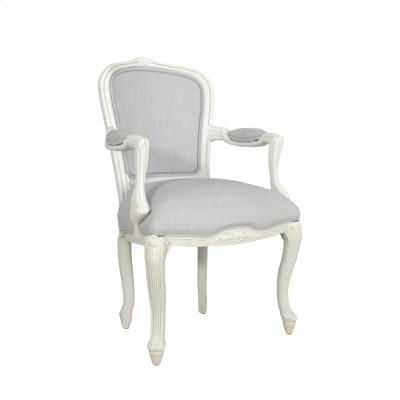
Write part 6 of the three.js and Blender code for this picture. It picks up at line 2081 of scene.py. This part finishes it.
@dataclass(frozen=True)
class Studio:
    """Camera, lamps, white surroundings and a plain pale floor."""

    eye: tuple[float, float, float] = (-1337.0, -2039.0, 759.0)
    yaw: float = 34.45
    pitch: float = 6.76
    lens: float = 62.71
    key: float = 80.0
    side: float = 56.0
    air: tuple[float, float] = (0.46, 0.86)

    def camera(self, shift: float) -> None:
        """Set the camera where the photograph's was."""
        data = bpy.data.cameras.new("view")
        data.lens, data.sensor_width = self.lens, 36
        data.clip_end = 100
        made = placed("view", data)
        yaw, pitch = math.radians(self.yaw), math.radians(self.pitch)
        ahead = Vector((math.sin(yaw) * math.cos(pitch), math.cos(yaw) * math.cos(pitch), -math.sin(pitch)))
        turn = ahead.to_track_quat("-Z", "Y").to_matrix()
        x, y, z = self.eye
        made.matrix_world = Matrix.Translation(Vector((x, y + shift, z)) * MM) @ turn.to_4x4()
        bpy.context.scene.camera = made

    @staticmethod
    def lamp(name: str, at: Vector, power: float, size: float) -> None:
        """Add a square area lamp that looks at the middle of the chair."""
        data = bpy.data.lights.new(name, "AREA")
        data.energy, data.size = power, size
        turn = (Vector((0, 0, 0.5)) - at).to_track_quat("-Z", "Y").to_matrix()
        placed(name, data).matrix_world = Matrix.Translation(at) @ turn.to_4x4()

    @staticmethod
    def seen(shader: Shader) -> Wire:
        """1 where the camera, a mirror or glass sees a surface, 0 for light on the object."""
        rays = [shader.node("ShaderNodeLightPath", output=f"Is {kind} Ray")
                for kind in ("Camera", "Glossy", "Transmission")]
        return rays[0].most(rays[1]).most(rays[2])

    def surroundings(self) -> None:
        """White air, and a floor that keeps the chair's shadow."""
        world = bpy.data.worlds.new("white")
        bpy.context.scene.world = world
        shell = Shader("white", world)
        way = shell.node("ShaderNodeTexCoord", output="Generated")
        facing = (0.0 - shell.split(way, 1)) * 0.5 - shell.split(way, 0) * 0.2 - shell.split(way, 2) * 0.75
        lit = facing.step(-0.9, 0.6)
        soft = lit * (self.air[1] - self.air[0]) + self.air[0]
        seen = self.seen(shell)
        back = shell.tree.nodes["Background"]
        shell.plug(back.inputs["Color"], shell.mix(lit.most(seen), (1.0, 0.95, 0.86), (1, 1, 1)))
        shell.plug(back.inputs["Strength"], seen * (1.0 - soft) + soft)
        s = Shader("floor")
        lit = s.node("ShaderNodeBsdfDiffuse", values={"Color": (0.44, 0.44, 0.44)})
        glow = s.node("ShaderNodeEmission", values={"Color": (0.89, 0.89, 0.89), "Strength": 1.0})
        pale = s.node("ShaderNodeAddShader", values={0: lit, 1: glow})
        plain = s.node("ShaderNodeBsdfDiffuse", values={"Color": (0.37, 0.345, 0.285)})
        both = s.node("ShaderNodeMixShader", values={0: self.seen(s), 1: plain, 2: pale})
        out = next(n for n in s.tree.nodes if n.type == "OUTPUT_MATERIAL")
        s.plug(out.inputs["Surface"], both)
        data = bpy.data.meshes.new("floor")
        ring = [(14 * math.cos(a), 14 * math.sin(a), -0.0002) for a in circle(64)]
        data.from_pydata(ring, [], [tuple(range(64))])
        data.materials.append(s.owner)
        placed("floor", data)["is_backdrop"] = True

    def build(self, shift: float) -> None:
        """Set the whole studio."""
        bpy.context.scene.view_settings.view_transform = "Standard"
        self.camera(shift)
        self.lamp("key", Vector((0.7, -4.3, 1.25)), self.key, 2.0)
        self.lamp("side", Vector((-3.4, -2.3, 1.6)), self.side, 0.3)
        self.surroundings()


def main() -> None:
    """Build the chair, piece by piece, and the studio round it."""
    logging.basicConfig(level=logging.INFO, format="%(name)s: %(message)s")
    sizes = ChairSizes()
    bench = Bench()
    Studio().build(bench.shift)
    back = BackFrame(sizes)
    arms = Arms(sizes)
    for part in (back, SeatFrame(sizes), FrontLegs(sizes), arms, SeatUpholstery(sizes, arms),
                 BackUpholstery(back), ArmPads(arms), Underside(sizes)):
        LOG.info("building %s", type(part).__name__)
        part.build(bench)
    boxes = [[list(corner) for corner in box] for box in (CAD_BOX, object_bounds())]


if __name__ == "__main__":
    main()
